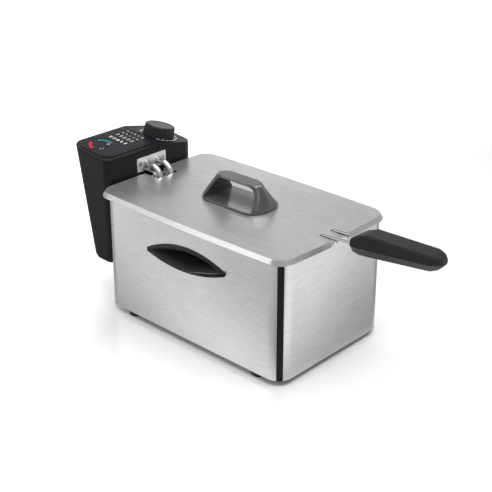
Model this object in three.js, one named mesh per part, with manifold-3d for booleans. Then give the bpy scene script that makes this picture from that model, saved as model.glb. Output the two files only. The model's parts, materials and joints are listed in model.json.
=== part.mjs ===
// Deep fryer with a lift-out oil pot, a hook-on control unit that carries the
// immersion heater, a wire basket with a clip-on handle, and a lift-off lid.
//
// Millimetres, +Z up, the floor at z = 0. +X runs from the control unit to the
// basket handle. The housing is centred on x = 0 and y = 0 while it is built,
// and the whole assembly is then shifted along X onto its own centre.

import * as THREE from 'three';
import { mergeVertices } from 'three/addons/utils/BufferGeometryUtils.js';
import Module from 'manifold-3d';

// ------------------------------------------------------------ driving sizes

// gaps
const SEAT_GAP = 0.3; // between a piece and what it rests on
const SLIDE_GAP = 0.8; // each side of a piece that lifts out of another
const TURN_GAP = 0.35; // around a turning shaft or a sliding pin

// feet
const FOOT_HEIGHT = 7;
const FOOT_DIAMETER = 18;
const FOOT_END_INSET = 42; // foot centre to the housing's end
const FOOT_SIDE_INSET = 10.6; // foot centre to the housing's side
const FOOT_SCREW_DIAMETER = 4;
const FOOT_SCREW_HEAD = 8;
const FOOT_SCREW_HEAD_HEIGHT = 2.4;
const FOOT_FLOOR = 1.5; // rubber left under the screw

// housing
const HOUSING_LENGTH = 295.6;
const HOUSING_WIDTH = 188.4;
const HOUSING_HEIGHT = 148;
const HOUSING_RADIUS = 19.5;
const HOUSING_SHEET = 1.2;
const HOUSING_LIP = 1.5; // thickness of the top lip that carries the pot
const TRIM_FROM = 34; // degrees round the front corner where the black trim starts
const TRIM_TO = 56;
const TRIM_THICKNESS = 0.8;

// base plate
const BASE_SHEET = 1.5;
const BASE_RIM = 12;

// oil pot
const POT_LENGTH = 281;
const POT_WIDTH = 159;
const POT_DEPTH = 122;
const POT_DRAFT = 2.5; // how far each wall leans in at the floor
const POT_RADIUS = 24;
const POT_SHEET = 1.2;
const POT_BEAD = 3; // width of the raised rim that carries the lid

// lid
const LID_LENGTH = 310;
const LID_WIDTH = 194.6;
const LID_RADIUS = 22;
const LID_RIM = 6.3;
const LID_SHEET = 1.2;
const LID_OFFSET = -3.3; // the lid reaches further over the control end
const LID_FRONT_BOW = 3;
const LID_SIDE_BOW = 2.6;
const LID_ABOVE_HOUSING = 5.4; // lid top above the housing's top edge
const LID_REAR_NOTCH_WIDTH = 34.6;
const LID_REAR_NOTCH_DEPTH = 28.7;
const LID_RIM_NOTCH_WIDTH = 26;

// lid handle
const HANDLE_LENGTH = 99;
const HANDLE_WIDTH = 55;
const HANDLE_RISE = 30;
const HANDLE_BAR_WIDTH = 22;
const HANDLE_BAR_THICKNESS = 2.8;
const HANDLE_FOOT = 3; // thickness of the foot at its rim
const HANDLE_BOSS = 10; // height of the two screw bosses
const HANDLE_END_ROUNDNESS = 0.97; // 1 would make the ends full half circles
const HANDLE_CORNER_SEGMENTS = 7;
const HANDLE_OFFSET = 0.6; // handle centre in front of the lid centre
const HANDLE_SCREW_INSET = 9.5; // screw centre inside the handle's end
const HANDLE_SCREW_DIAMETER = 4;

// side grips
const GRIP_CHORD = 130;
const GRIP_CENTRE_X = -3;
const GRIP_RISE = 18; // crown of the upper edge above the chord
const GRIP_FALL = 14; // lowest point of the lower edge below the chord
const GRIP_TIP = 2.4; // half height of the blunt tips
const GRIP_TILT = 3.8; // degrees, rising towards the front
const GRIP_CENTRE_HEIGHT = 105.5; // above the housing's bottom edge
const GRIP_FLANGE = 1.8;
const GRIP_LIP_REACH = 5; // how far the finger lip stands out at its middle
const GRIP_LIP_HEIGHT = 6;
const GRIP_POCKET_DEPTH = 11;
const GRIP_WALL = 1.6;
const GRIP_OVERLAP = 4; // flange width outside the hole in the housing

// control unit
const CONTROL_GAP = 12.5; // housing end to the unit's front face
const CONTROL_WIDTH = 152;
const CONTROL_TOP_DEPTH = 70.5;
const CONTROL_BOTTOM_DEPTH = 43.5;
const CONTROL_GROUND_CLEARANCE = 47;
const CONTROL_FRONT_HEIGHT = 191.2; // panel height above the floor at its front edge
const CONTROL_PANEL_SLOPE = 0.1; // fall of the panel towards the front
const CONTROL_FACET_START = 18; // y where the knob facet begins
const CONTROL_FACET_SLOPE = 0.225; // extra fall of the knob facet towards +Y
const CONTROL_FACET_SLOPE_X = 0.1;
const CONTROL_REAR_RADIUS = 20;
const CONTROL_FRONT_RADIUS = 9;
const CONTROL_KNOB_CORNER_RADIUS = 17; // front corner beside the knob
const CONTROL_WALL = 2.6;
const CONTROL_BOTTOM_ROUND = 6;
const COVER_THICKNESS = 3;
const COVER_SCREW_DIAMETER = 2.8;
const COVER_SCREW_HEAD = 5.4;
const COVER_POST_DIAMETER = 9.2;
const RESET_WELL = 40; // the cutout's seat behind the front face
const RESET_BUTTON_DIAMETER = 8;
const RESET_BOSS_DIAMETER = 22;
const CUTOUT_DIAMETER = 20;
const CUTOUT_LENGTH = 14;

// hook rail between the housing and the control unit
const RAIL_WIDTH = 64;
const RAIL_HEIGHT = 78;
const RAIL_BOTTOM = 58; // above the floor
const RAIL_SHEET = 1.5;
const RAIL_JAW = 6;
const RAIL_SCREW_END_INSET = 12; // screw centre inside the rail's ends
const RAIL_SCREW_SIDE_INSET = 9;
const RAIL_SCREW_DIAMETER = 4;
const RAIL_SCREW_HEAD = 7;
const RAIL_SCREW_HEAD_HEIGHT = 1.6;

// knob
const KNOB_DIAMETER = 41.8;
const KNOB_HEIGHT = 13.6;
const KNOB_FLUTES = 20;
const KNOB_LIFT = 1.6; // knob underside above the facet
const KNOB_FROM_FRONT = 29.7; // knob axis behind the unit's front face
const KNOB_Y = 39.5;
const SHAFT_DIAMETER = 6;
const SHAFT_REACH = 14; // below the cover
const SHAFT_COLLAR = 10;
const THERMOSTAT_DIAMETER = 34;
const THERMOSTAT_DEPTH = 19;
const DIAL_DIAMETER = 52;
const DIAL_THICKNESS = 0.6;

// label and lamps
const LABEL_THICKNESS = 0.6;
const LAMP_RING_RADIUS = 14.2;
const LAMP_WIDTH = 4;
const LAMP_FROM_FRONT = 41.7; // lamp circle centre behind the front face
const LAMP_Y = -49;

// heater
const HEATER_DIAMETER = 8;
const HEATER_SPACING = 18.6;
const HEATER_HEIGHT = 171; // height of the legs where they leave the unit
const HEATER_DROP_X = -134.2; // where the legs run down
const HEATER_LOOP_HEIGHT = 46;
const HEATER_LOOP_FRONT = 96;
const HEATER_LOOP_HALF_WIDTH = 50;
const HEATER_BEND = 17;
const PLATE_WIDTH = 50;
const PLATE_HEIGHT = 19;
const PLATE_THICKNESS = 1.5;
const PLATE_CORNER = 2;
const PLATE_SCREW_SPACING = 39;
const PLATE_SCREW_DIAMETER = 3.2;
const PLATE_SCREW_HEAD = 5.6;
const BOSS_DEPTH = 7; // of the block behind the plate, from the front face
const BOSS_SIDE_MARGIN = 4; // past the plate
const BOSS_BELOW = 6.5;
const BOSS_ABOVE = 3.5;
const COLLAR_DIAMETER = 11;
const COLLAR_LENGTH = 2.4;
const SENSOR_DIAMETER = 3.2;
const SENSOR_BELOW_LEGS = 6;
const SENSOR_FROM_LEG = 4.5; // beside the near leg's axis
const SENSOR_SIDE_STEP = 1.4;
const SENSOR_END_HEIGHT = 104;
const SENSOR_BULB = 16; // length of its straight lower end
const STRAP_HEIGHT = 150; // of the strap that keeps the legs apart
const STRAP_THICKNESS = 1.5;
const STRAP_REACH = 1.5; // past each leg's axis

// basket
const BASKET_LENGTH = 246;
const BASKET_WIDTH = 142;
const BASKET_BOTTOM = 58;
const BASKET_TOP = 150;
const BASKET_RADIUS = 18;
const BASKET_SHEET = 1;
const BASKET_BAND = 3;
const BASKET_OFFSET = 4.5;
const BASKET_HOOK_WIDTH = 12;
const BASKET_HOOK_SPACING = 90;

// basket handle
const PRONG_DIAMETER = 3;
const PRONG_SPACING = 18.8;
const PRONG_X = 134.2; // where the prongs turn down into the basket
const PRONG_DROP = 12;
const SOCKET_WALL = 0.9;
const SOCKET_LENGTH = 16;
const PRONG_SLOPE = 0.09; // rise of the prongs towards the grip
const PRONG_IN_GRIP = 34;
const GRIP_START_X = 172;
const GRIP_END_X = 292;
const GRIP_HALF_WIDTH = 13;
const GRIP_KEEL = 0.5; // width of the flat underside as a share of the full width
const GRIP_EDGE = 2;
const GRIP_SHOULDER_HEIGHT = 161; // where the side walls start, at the grip's front end
const GRIP_SHOULDER_SLOPE = 0.106;
const GRIP_TOP_HEIGHT = 183.2; // the grip's highest point above the floor
// sections of the grip: place from its end, keel below the shoulder line, top
// below the highest point, and how much slimmer each half is than the widest
const GRIP_NEAR_SECTIONS = [[0, 4, 16.2, 5], [3, 9, 13.2, 2], [12, 11, 7.2, 0.5], [26, 11, 2, 0]];
const GRIP_FAR_SECTIONS = [[14, 9.5, 0, 0], [5, 6.5, 1.2, 3.5], [0, 1.5, 3.7, 8]];
const GRIP_SCREW_INSET = 42; // from the grip's far end
const GRIP_SCREW_DIAMETER = 2.8;
const GRIP_SCREW_HEAD = 5.6;

const CURVE_SEGMENTS = 5;
const ROUND_SIDES = 20;
const SMALL_SIDES = 12;

// --------------------------------------------------------- derived positions

const HOUSING_BOTTOM = FOOT_HEIGHT;
const HOUSING_TOP = HOUSING_BOTTOM + HOUSING_HEIGHT;
const HOUSING_END = HOUSING_LENGTH / 2;
const HOUSING_SIDE = HOUSING_WIDTH / 2;
const LID_TOP = HOUSING_TOP + LID_ABOVE_HOUSING;
const LID_UNDERSIDE = LID_TOP - LID_SHEET;
const LID_REAR = LID_OFFSET - LID_LENGTH / 2;
const LID_FRONT = LID_OFFSET + LID_LENGTH / 2;
const HANDLE_X = LID_OFFSET + HANDLE_OFFSET;
const POT_FLANGE_BOTTOM = HOUSING_TOP + SEAT_GAP;
const POT_FLANGE_TOP = POT_FLANGE_BOTTOM + POT_SHEET;
const CONTROL_FRONT = -HOUSING_END - CONTROL_GAP;
const CONTROL_REAR_TOP = CONTROL_FRONT - CONTROL_TOP_DEPTH;
const CONTROL_CAVITY_FLOOR = CONTROL_GROUND_CLEARANCE + CONTROL_WALL;
const CONTROL_TALL = CONTROL_FRONT_HEIGHT + 40;
const KNOB_X = CONTROL_FRONT - KNOB_FROM_FRONT;
const RAIL_FACE = -HOUSING_END - SEAT_GAP - RAIL_SHEET;

// ------------------------------------------------------------------ finishes

const finish = (color, roughness, metalness) => (
  new THREE.MeshStandardMaterial({ color, roughness, metalness })
);
const STEEL = finish(0xb9bab8, 0.35, 1);
const BRIGHT_STEEL = finish(0xe2e2e0, 0.15, 1);
const BLACK_PLASTIC = finish(0x232324, 0.45, 0);
const GREY_PLASTIC = finish(0x3a3a3c, 0.35, 0);
const LABEL_INK = finish(0x3a3740, 0.2, 0);
const RUBBER = finish(0x161616, 0.8, 0);
const RED_LENS = finish(0xd8404f, 0.2, 0);
const TEAL_LENS = finish(0x5cc4c6, 0.2, 0);
const CERAMIC = finish(0xd9d3c4, 0.6, 0);
const BRASS = finish(0xc9a35a, 0.3, 1);

// ------------------------------------------------------------ solid modelling

const wasm = await Module();
wasm.setup();

/** A closed geometry as a solid that can be joined and cut. */
function solid(geometry) {
  const bare = geometry.index ? geometry.toNonIndexed() : geometry.clone();
  bare.deleteAttribute('normal');
  bare.deleteAttribute('uv');
  const merged = mergeVertices(bare, 1e-4);
  return new wasm.Manifold(new wasm.Mesh({
    numProp: 3,
    vertProperties: new Float32Array(merged.attributes.position.array),
    triVerts: new Uint32Array(merged.index.array),
  }));
}

/** The geometry of a solid. */
function geometryOf(manifold) {
  const mesh = manifold.getMesh();
  const geometry = new THREE.BufferGeometry();
  geometry.setAttribute('position', new THREE.BufferAttribute(mesh.vertProperties.slice(), 3));
  geometry.setIndex(new THREE.BufferAttribute(mesh.triVerts.slice(), 1));
  geometry.computeVertexNormals();
  return geometry;
}

/** Every solid in the list joined into one. */
const join = (solids) => solids.reduce((sum, piece) => sum.add(piece));

/** The first solid with all the others cut away. */
const cut = (body, ...tools) => tools.reduce((rest, tool) => rest.subtract(tool), body);

/** A plan outline raised from one height to another. */
function slab(shape, bottom, top, segments = CURVE_SEGMENTS) {
  const options = { depth: top - bottom, bevelEnabled: false, curveSegments: segments };
  return solid(new THREE.ExtrudeGeometry(shape, options).translate(0, 0, bottom));
}

/** An outline drawn in x and z, run along Y. */
function slabAlongY(shape, start, end, segments = CURVE_SEGMENTS) {
  const options = { depth: end - start, bevelEnabled: false, curveSegments: segments };
  const geometry = new THREE.ExtrudeGeometry(shape, options);
  return solid(geometry.translate(0, 0, -end).rotateX(Math.PI / 2));
}

/** An outline drawn in y and z, run along X. */
function slabAlongX(shape, start, end, segments = CURVE_SEGMENTS) {
  const options = { depth: end - start, bevelEnabled: false, curveSegments: segments };
  const geometry = new THREE.ExtrudeGeometry(shape, options).translate(0, 0, start);
  const turn = new THREE.Matrix4().makeBasis(
    new THREE.Vector3(0, 1, 0), new THREE.Vector3(0, 0, 1), new THREE.Vector3(1, 0, 0),
  );
  return solid(geometry.applyMatrix4(turn));
}

/** A box between two corners. */
function box(x0, y0, z0, x1, y1, z1) {
  const geometry = new THREE.BoxGeometry(x1 - x0, y1 - y0, z1 - z0);
  return solid(geometry.translate((x0 + x1) / 2, (y0 + y1) / 2, (z0 + z1) / 2));
}

/** How many sides a round piece gets. */
const sidesFor = (diameter) => (diameter < 10 ? SMALL_SIDES : ROUND_SIDES);

/** An upright cylinder. */
function pillar(x, y, bottom, top, diameter, sides = sidesFor(diameter)) {
  const radius = diameter / 2;
  const geometry = new THREE.CylinderGeometry(radius, radius, top - bottom, sides);
  return solid(geometry.rotateX(Math.PI / 2).translate(x, y, (bottom + top) / 2));
}

/** A cylinder along X. */
function rod(y, z, start, end, diameter, sides = sidesFor(diameter)) {
  const radius = diameter / 2;
  const geometry = new THREE.CylinderGeometry(radius, radius, end - start, sides);
  return solid(geometry.rotateZ(-Math.PI / 2).translate((start + end) / 2, y, z));
}

/** A round-cornered rectangle in plan. */
function roundedRectangle(length, width, radius, centreX = 0, centreY = 0) {
  return bowedRectangle(length, width, radius, 0, 0, 0, centreX, centreY);
}

/** A round-cornered rectangle whose sides may bow outwards. */
function bowedRectangle(length, width, radius, frontBow, rearBow, sideBow, cx = 0, cy = 0) {
  const a = length / 2;
  const b = width / 2;
  const r = Math.min(radius, a - 0.01, b - 0.01);
  const side = (bow, x0, y0, x1, y1, nx, ny) => {
    if (bow === 0) {
      shape.lineTo(cx + x1, cy + y1);
    } else {
      const midX = (x0 + x1) / 2 + 2 * bow * nx;
      const midY = (y0 + y1) / 2 + 2 * bow * ny;
      shape.quadraticCurveTo(cx + midX, cy + midY, cx + x1, cy + y1);
    }
  };
  const shape = new THREE.Shape();
  shape.moveTo(cx + a, cy - b + r);
  side(frontBow, a, -b + r, a, b - r, 1, 0);
  shape.absarc(cx + a - r, cy + b - r, r, 0, Math.PI / 2);
  side(sideBow, a - r, b, -a + r, b, 0, 1);
  shape.absarc(cx - a + r, cy + b - r, r, Math.PI / 2, Math.PI);
  side(rearBow, -a, b - r, -a, -b + r, -1, 0);
  shape.absarc(cx - a + r, cy - b + r, r, Math.PI, Math.PI * 1.5);
  side(sideBow, -a + r, -b, a - r, -b, 0, -1);
  shape.absarc(cx + a - r, cy - b + r, r, Math.PI * 1.5, Math.PI * 2);
  return shape;
}

/** A closed skin over rings of matching points, capped at both ends. */
function loft(rings) {
  const count = rings[0].length;
  const points = rings.flat();
  const triangles = [];
  const centres = [rings[0], rings[rings.length - 1]].map((ring) => (
    ring.reduce((sum, p) => sum.add(p), new THREE.Vector3()).divideScalar(count)
  ));
  for (let r = 0; r + 1 < rings.length; r += 1) {
    for (let i = 0; i < count; i += 1) {
      const a = r * count + i;
      const b = r * count + (i + 1) % count;
      triangles.push(a, b, b + count, a, b + count, a + count);
    }
  }
  const last = (rings.length - 1) * count;
  for (let i = 0; i < count; i += 1) {
    const next = (i + 1) % count;
    triangles.push(points.length, next, i);
    triangles.push(points.length + 1, last + i, last + next);
  }
  const all = [...points, ...centres];
  const geometry = new THREE.BufferGeometry().setFromPoints(all);
  geometry.setIndex(triangles);
  const body = solid(geometry);
  if (body.volume() > 0) return body;
  geometry.setIndex(triangles.reverse());
  return solid(geometry);
}

/** A wire of straight runs and rounded bends, with its sections only at the bends. */
class BentWire extends THREE.Curve {
  constructor(corners, radius, bendSteps = 4) {
    super();
    const first = corners[0];
    const last = corners[corners.length - 1];
    const heading = (i) => corners[i + 1].clone().sub(corners[i]).normalize();
    this.stations = [{ point: first, tangent: heading(0) }];
    for (let i = 1; i + 1 < corners.length; i += 1) {
      const start = corners[i].clone().addScaledVector(heading(i - 1), -radius);
      const end = corners[i].clone().addScaledVector(heading(i), radius);
      const bend = new THREE.QuadraticBezierCurve3(start, corners[i], end);
      for (let k = 0; k <= bendSteps; k += 1) {
        const t = k / bendSteps;
        this.stations.push({ point: bend.getPoint(t), tangent: bend.getTangent(t) });
      }
    }
    this.stations.push({ point: last, tangent: heading(corners.length - 2) });
    this.steps = this.stations.length - 1;
  }

  stationAt(t) {
    return this.stations[Math.round(t * this.steps)];
  }

  getPoint(t, target = new THREE.Vector3()) {
    return target.copy(this.stationAt(t).point);
  }

  getPointAt(u, target) {
    return this.getPoint(u, target);
  }

  getTangentAt(u, target = new THREE.Vector3()) {
    return target.copy(this.stationAt(u).tangent);
  }
}

/** A round bar along a bent wire's path. */
function bar(wire, diameter, sides) {
  const section = new THREE.Shape();
  section.absarc(0, 0, diameter / 2, 0, Math.PI * 2);
  const options = {
    steps: wire.steps, bevelEnabled: false, extrudePath: wire, curveSegments: sides / 2,
  };
  return solid(new THREE.ExtrudeGeometry(section, options));
}

const v3 = (x, y, z) => new THREE.Vector3(x, y, z);

// ------------------------------------------------------------------ assembly

const assembly = new THREE.Group();
assembly.name = 'deep_fryer';

/** Adds a solid to a group as a named piece with its finish. */
function addPiece(name, body, material, parent = assembly) {
  const mesh = new THREE.Mesh(geometryOf(body), material);
  mesh.name = name;
  parent.add(mesh);
}

/** Adds each copy of a repeated piece under the same name and its own number. */
function addSet(name, bodies, material) {
  bodies.forEach((body, index) => addPiece(`${name}_${index + 1}`, body, material));
}

// ------------------------------------------------------------------- housing

/** The lens outline of a side grip, grown outwards by the given amount. */
function gripLens(grow) {
  const half = GRIP_CHORD / 2 + grow;
  const tip = GRIP_TIP + grow * 0.4;
  const crown = GRIP_RISE + grow;
  const keel = GRIP_FALL + grow;
  const shape = new THREE.Shape();
  shape.moveTo(half, -tip);
  shape.lineTo(half, tip);
  shape.quadraticCurveTo(0, 2 * crown - tip, -half, tip);
  shape.lineTo(-half, -tip);
  shape.quadraticCurveTo(0, -(2 * keel - tip), half, -tip);
  return shape;
}

/** Turns a grip solid to its tilt and lifts it to its height. */
function placeGrip(body) {
  const height = HOUSING_BOTTOM + GRIP_CENTRE_HEIGHT;
  return body.rotate([0, -GRIP_TILT, 0]).translate([GRIP_CENTRE_X, 0, height]);
}

/** The part of a front corner between two angles, as a cutter or a strip. */
function cornerArc(sideSign, inner, outer, from, to, bottom, top) {
  const cx = HOUSING_END - HOUSING_RADIUS;
  const cy = HOUSING_SIDE - HOUSING_RADIUS;
  const start = THREE.MathUtils.degToRad(from);
  const end = THREE.MathUtils.degToRad(to);
  const shape = new THREE.Shape();
  shape.absarc(cx, cy, outer, start, end, false);
  shape.absarc(cx, cy, inner, end, start, true);
  const strip = slab(shape, bottom, top);
  return sideSign > 0 ? strip : strip.mirror([0, 1, 0]);
}

function buildHousing() {
  const outline = roundedRectangle(HOUSING_LENGTH, HOUSING_WIDTH, HOUSING_RADIUS);
  const innerLength = HOUSING_LENGTH - 2 * HOUSING_SHEET;
  const innerWidth = HOUSING_WIDTH - 2 * HOUSING_SHEET;
  const innerRadius = HOUSING_RADIUS - HOUSING_SHEET;
  const inner = roundedRectangle(innerLength, innerWidth, innerRadius);
  const opening = roundedRectangle(
    POT_LENGTH + 2 * SLIDE_GAP, POT_WIDTH + 2 * SLIDE_GAP, POT_RADIUS + SLIDE_GAP,
  );
  let shell = cut(
    slab(outline, HOUSING_BOTTOM, HOUSING_TOP),
    slab(inner, HOUSING_BOTTOM - 1, HOUSING_TOP - HOUSING_LIP),
    slab(opening, HOUSING_TOP - HOUSING_LIP - 1, HOUSING_TOP + 1),
  );
  const hole = gripLens(-GRIP_OVERLAP);
  shell = cut(
    shell,
    placeGrip(slabAlongY(hole, -HOUSING_SIDE - 1, -HOUSING_SIDE + HOUSING_SHEET + 1, 10)),
    placeGrip(slabAlongY(hole, HOUSING_SIDE - HOUSING_SHEET - 1, HOUSING_SIDE + 1, 10)),
  );
  const grooveFloor = HOUSING_RADIUS - TRIM_THICKNESS;
  const edge = 0.4;
  for (const sign of [-1, 1]) {
    shell = shell.subtract(cornerArc(
      sign, grooveFloor - 0.1, HOUSING_RADIUS + 2, TRIM_FROM - edge, TRIM_TO + edge,
      HOUSING_BOTTOM - 1, HOUSING_TOP - HOUSING_LIP,
    ));
    const strip = cornerArc(
      sign, grooveFloor + SEAT_GAP, HOUSING_RADIUS + 0.1, TRIM_FROM + edge, TRIM_TO - edge,
      HOUSING_BOTTOM, HOUSING_TOP - HOUSING_LIP - SEAT_GAP,
    );
    addPiece(sign < 0 ? 'corner_trim_left' : 'corner_trim_right', strip, BLACK_PLASTIC);
  }
  addPiece('housing_shell', shell, STEEL);
}

/** Plan positions of the four feet. */
function footCentres() {
  const x = HOUSING_END - FOOT_END_INSET;
  const y = HOUSING_SIDE - FOOT_SIDE_INSET;
  return [
    ['front_left', x, -y], ['front_right', x, y],
    ['rear_left', -x, -y], ['rear_right', -x, y],
  ];
}

function buildBase() {
  const gap = HOUSING_SHEET + SEAT_GAP;
  const outer = roundedRectangle(
    HOUSING_LENGTH - 2 * gap, HOUSING_WIDTH - 2 * gap, HOUSING_RADIUS - gap,
  );
  const inset = gap + BASE_SHEET;
  const inner = roundedRectangle(
    HOUSING_LENGTH - 2 * inset, HOUSING_WIDTH - 2 * inset, HOUSING_RADIUS - inset,
  );
  const bottom = HOUSING_BOTTOM + SEAT_GAP;
  let plate = cut(
    slab(outer, bottom, bottom + BASE_RIM),
    slab(inner, bottom + BASE_SHEET, bottom + BASE_RIM + 1),
  );
  const screws = [];
  for (const [name, x, y] of footCentres()) {
    plate = plate.subtract(
      pillar(x, y, bottom - 1, bottom + BASE_SHEET + 1, FOOT_SCREW_DIAMETER + 2 * TURN_GAP),
    );
    const bore = FOOT_SCREW_DIAMETER + 2 * TURN_GAP;
    const foot = cut(
      pillar(x, y, 0, bottom, FOOT_DIAMETER, 32),
      pillar(x, y, FOOT_FLOOR, bottom + 1, bore),
    );
    addPiece(`foot_${name}`, foot, RUBBER);
    const head = bottom + BASE_SHEET + SEAT_GAP;
    screws.push(
      pillar(x, y, head, head + FOOT_SCREW_HEAD_HEIGHT, FOOT_SCREW_HEAD)
        .add(pillar(x, y, FOOT_FLOOR + SEAT_GAP, head + 0.5, FOOT_SCREW_DIAMETER)),
    );
  }
  addPiece('base_plate', plate, STEEL);
  addSet('foot_screw', screws, BRIGHT_STEEL);
}

/** A moulded finger recess for one long side of the housing. */
function buildSideGrip(name, sign) {
  const face = -HOUSING_SIDE - SEAT_GAP;
  const sleeve = -GRIP_OVERLAP - SEAT_GAP;
  const pocketFloor = face + GRIP_POCKET_DEPTH;
  let body = slabAlongY(gripLens(0), face - GRIP_FLANGE, face, 10);
  body = body.add(slabAlongY(gripLens(sleeve), face - 0.5, pocketFloor + GRIP_WALL, 10));

  // the lip is the lower band of the lens, pulled out to a shallow bow in plan
  const bowHalf = GRIP_CHORD / 2;
  const bow = GRIP_LIP_REACH - GRIP_FLANGE;
  const radius = (bowHalf ** 2 + bow ** 2) / (2 * bow);
  const reach = face - GRIP_LIP_REACH;
  const swell = new THREE.Shape();
  const spread = Math.asin(bowHalf / radius);
  swell.absarc(0, reach + radius, radius, -Math.PI / 2 - spread, -Math.PI / 2 + spread);
  const lipBand = cut(
    slabAlongY(gripLens(0), reach - 1, face, 10),
    slabAlongY(gripLens(0), reach - 2, face + 1, 10).translate([0, 0, GRIP_LIP_HEIGHT]),
  );
  const bulge = slab(swell, -GRIP_FALL - 2, GRIP_RISE + 2, 14);
  body = body.add(lipBand.intersect(bulge));

  const pocket = slabAlongY(gripLens(sleeve - GRIP_WALL), reach - 5, pocketFloor, 10);
  const clearLip = cut(pocket, slabAlongY(
    gripLens(1), reach - 6, face - GRIP_FLANGE, 10,
  ).subtract(slabAlongY(gripLens(1), reach - 7, face, 10).translate([0, 0, GRIP_LIP_HEIGHT])));
  body = placeGrip(body.subtract(clearLip));
  addPiece(name, sign < 0 ? body : body.mirror([0, 1, 0]), BLACK_PLASTIC);
}

/** The channel on the housing's end that the control unit hooks into. */
function buildRail() {
  const half = RAIL_WIDTH / 2;
  const top = RAIL_BOTTOM + RAIL_HEIGHT;
  const jawEnd = CONTROL_FRONT + 2;
  const back = box(RAIL_FACE, -half, RAIL_BOTTOM, -HOUSING_END - SEAT_GAP, half, top);
  const wall = (y0, y1) => box(jawEnd, y0, RAIL_BOTTOM, RAIL_FACE, y1, top);
  const jaw = (y0, y1) => box(jawEnd, y0, RAIL_BOTTOM, jawEnd + RAIL_SHEET, y1, top);
  const stop = box(jawEnd, -half, RAIL_BOTTOM - RAIL_SHEET, RAIL_FACE + 0.1, half, RAIL_BOTTOM);
  let rail = join([
    back, wall(-half, -half + RAIL_SHEET), wall(half - RAIL_SHEET, half),
    jaw(-half, -half + RAIL_JAW), jaw(half - RAIL_JAW, half), stop,
  ]);
  const screws = [];
  for (const z of [RAIL_BOTTOM + RAIL_SCREW_END_INSET, top - RAIL_SCREW_END_INSET]) {
    for (const y of [-half + RAIL_SCREW_SIDE_INSET, half - RAIL_SCREW_SIDE_INSET]) {
      const bore = RAIL_SCREW_DIAMETER + 2 * TURN_GAP;
      const seat = RAIL_FACE - SEAT_GAP;
      rail = rail.subtract(rod(y, z, RAIL_FACE - 1, -HOUSING_END, bore));
      screws.push(rod(y, z, seat - RAIL_SCREW_HEAD_HEIGHT, seat, RAIL_SCREW_HEAD)
        .add(rod(y, z, seat - 0.5, -HOUSING_END - SEAT_GAP, RAIL_SCREW_DIAMETER)));
    }
  }
  addPiece('control_rail', rail, STEEL);
  addSet('rail_screw', screws, BRIGHT_STEEL);
}

// ------------------------------------------------------------------- oil pot

function buildPot() {
  const bottom = HOUSING_TOP - POT_DEPTH;
  const wall = (grow, low, high) => {
    const ring = (inset, z) => roundedRectangle(
      POT_LENGTH - 2 * inset + 2 * grow, POT_WIDTH - 2 * inset + 2 * grow,
      POT_RADIUS + grow,
    ).getPoints(CURVE_SEGMENTS).slice(1).map((p) => v3(p.x, p.y, z));
    return loft([
      ring(POT_DRAFT + 8, low), ring(POT_DRAFT + 2.4, low + 2.4),
      ring(POT_DRAFT, low + 8), ring(0, high),
    ]);
  };
  const flange = slab(
    roundedRectangle(HOUSING_LENGTH - 3, HOUSING_WIDTH - 3, HOUSING_RADIUS - 1.5),
    POT_FLANGE_BOTTOM, POT_FLANGE_TOP,
  );
  const beadTop = LID_UNDERSIDE - SEAT_GAP;
  const bead = cut(
    slab(
      roundedRectangle(HOUSING_LENGTH - 3, HOUSING_WIDTH - 3, HOUSING_RADIUS - 1.5),
      POT_FLANGE_TOP - 0.5, beadTop,
    ),
    slab(
      roundedRectangle(
        HOUSING_LENGTH - 3 - 2 * POT_BEAD, HOUSING_WIDTH - 3 - 2 * POT_BEAD,
        HOUSING_RADIUS - 1.5 - POT_BEAD,
      ),
      POT_FLANGE_TOP - 1, beadTop + 1,
    ),
    box(HOUSING_END - 30, -19, POT_FLANGE_TOP, HOUSING_END + 5, 19, beadTop + 1),
  );
  const pot = cut(
    join([wall(0, bottom, POT_FLANGE_TOP), flange, bead]),
    wall(-POT_SHEET, bottom + POT_SHEET, POT_FLANGE_TOP + 0.01),
  );
  addPiece('oil_pot', pot, BRIGHT_STEEL);
}

// ----------------------------------------------------------------------- lid

/** The lid outline, pulled in by the given inset. */
function lidOutline(inset) {
  return bowedRectangle(
    LID_LENGTH - 2 * inset, LID_WIDTH - 2 * inset, LID_RADIUS - inset,
    LID_FRONT_BOW, 0, LID_SIDE_BOW, LID_OFFSET,
  );
}

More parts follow.
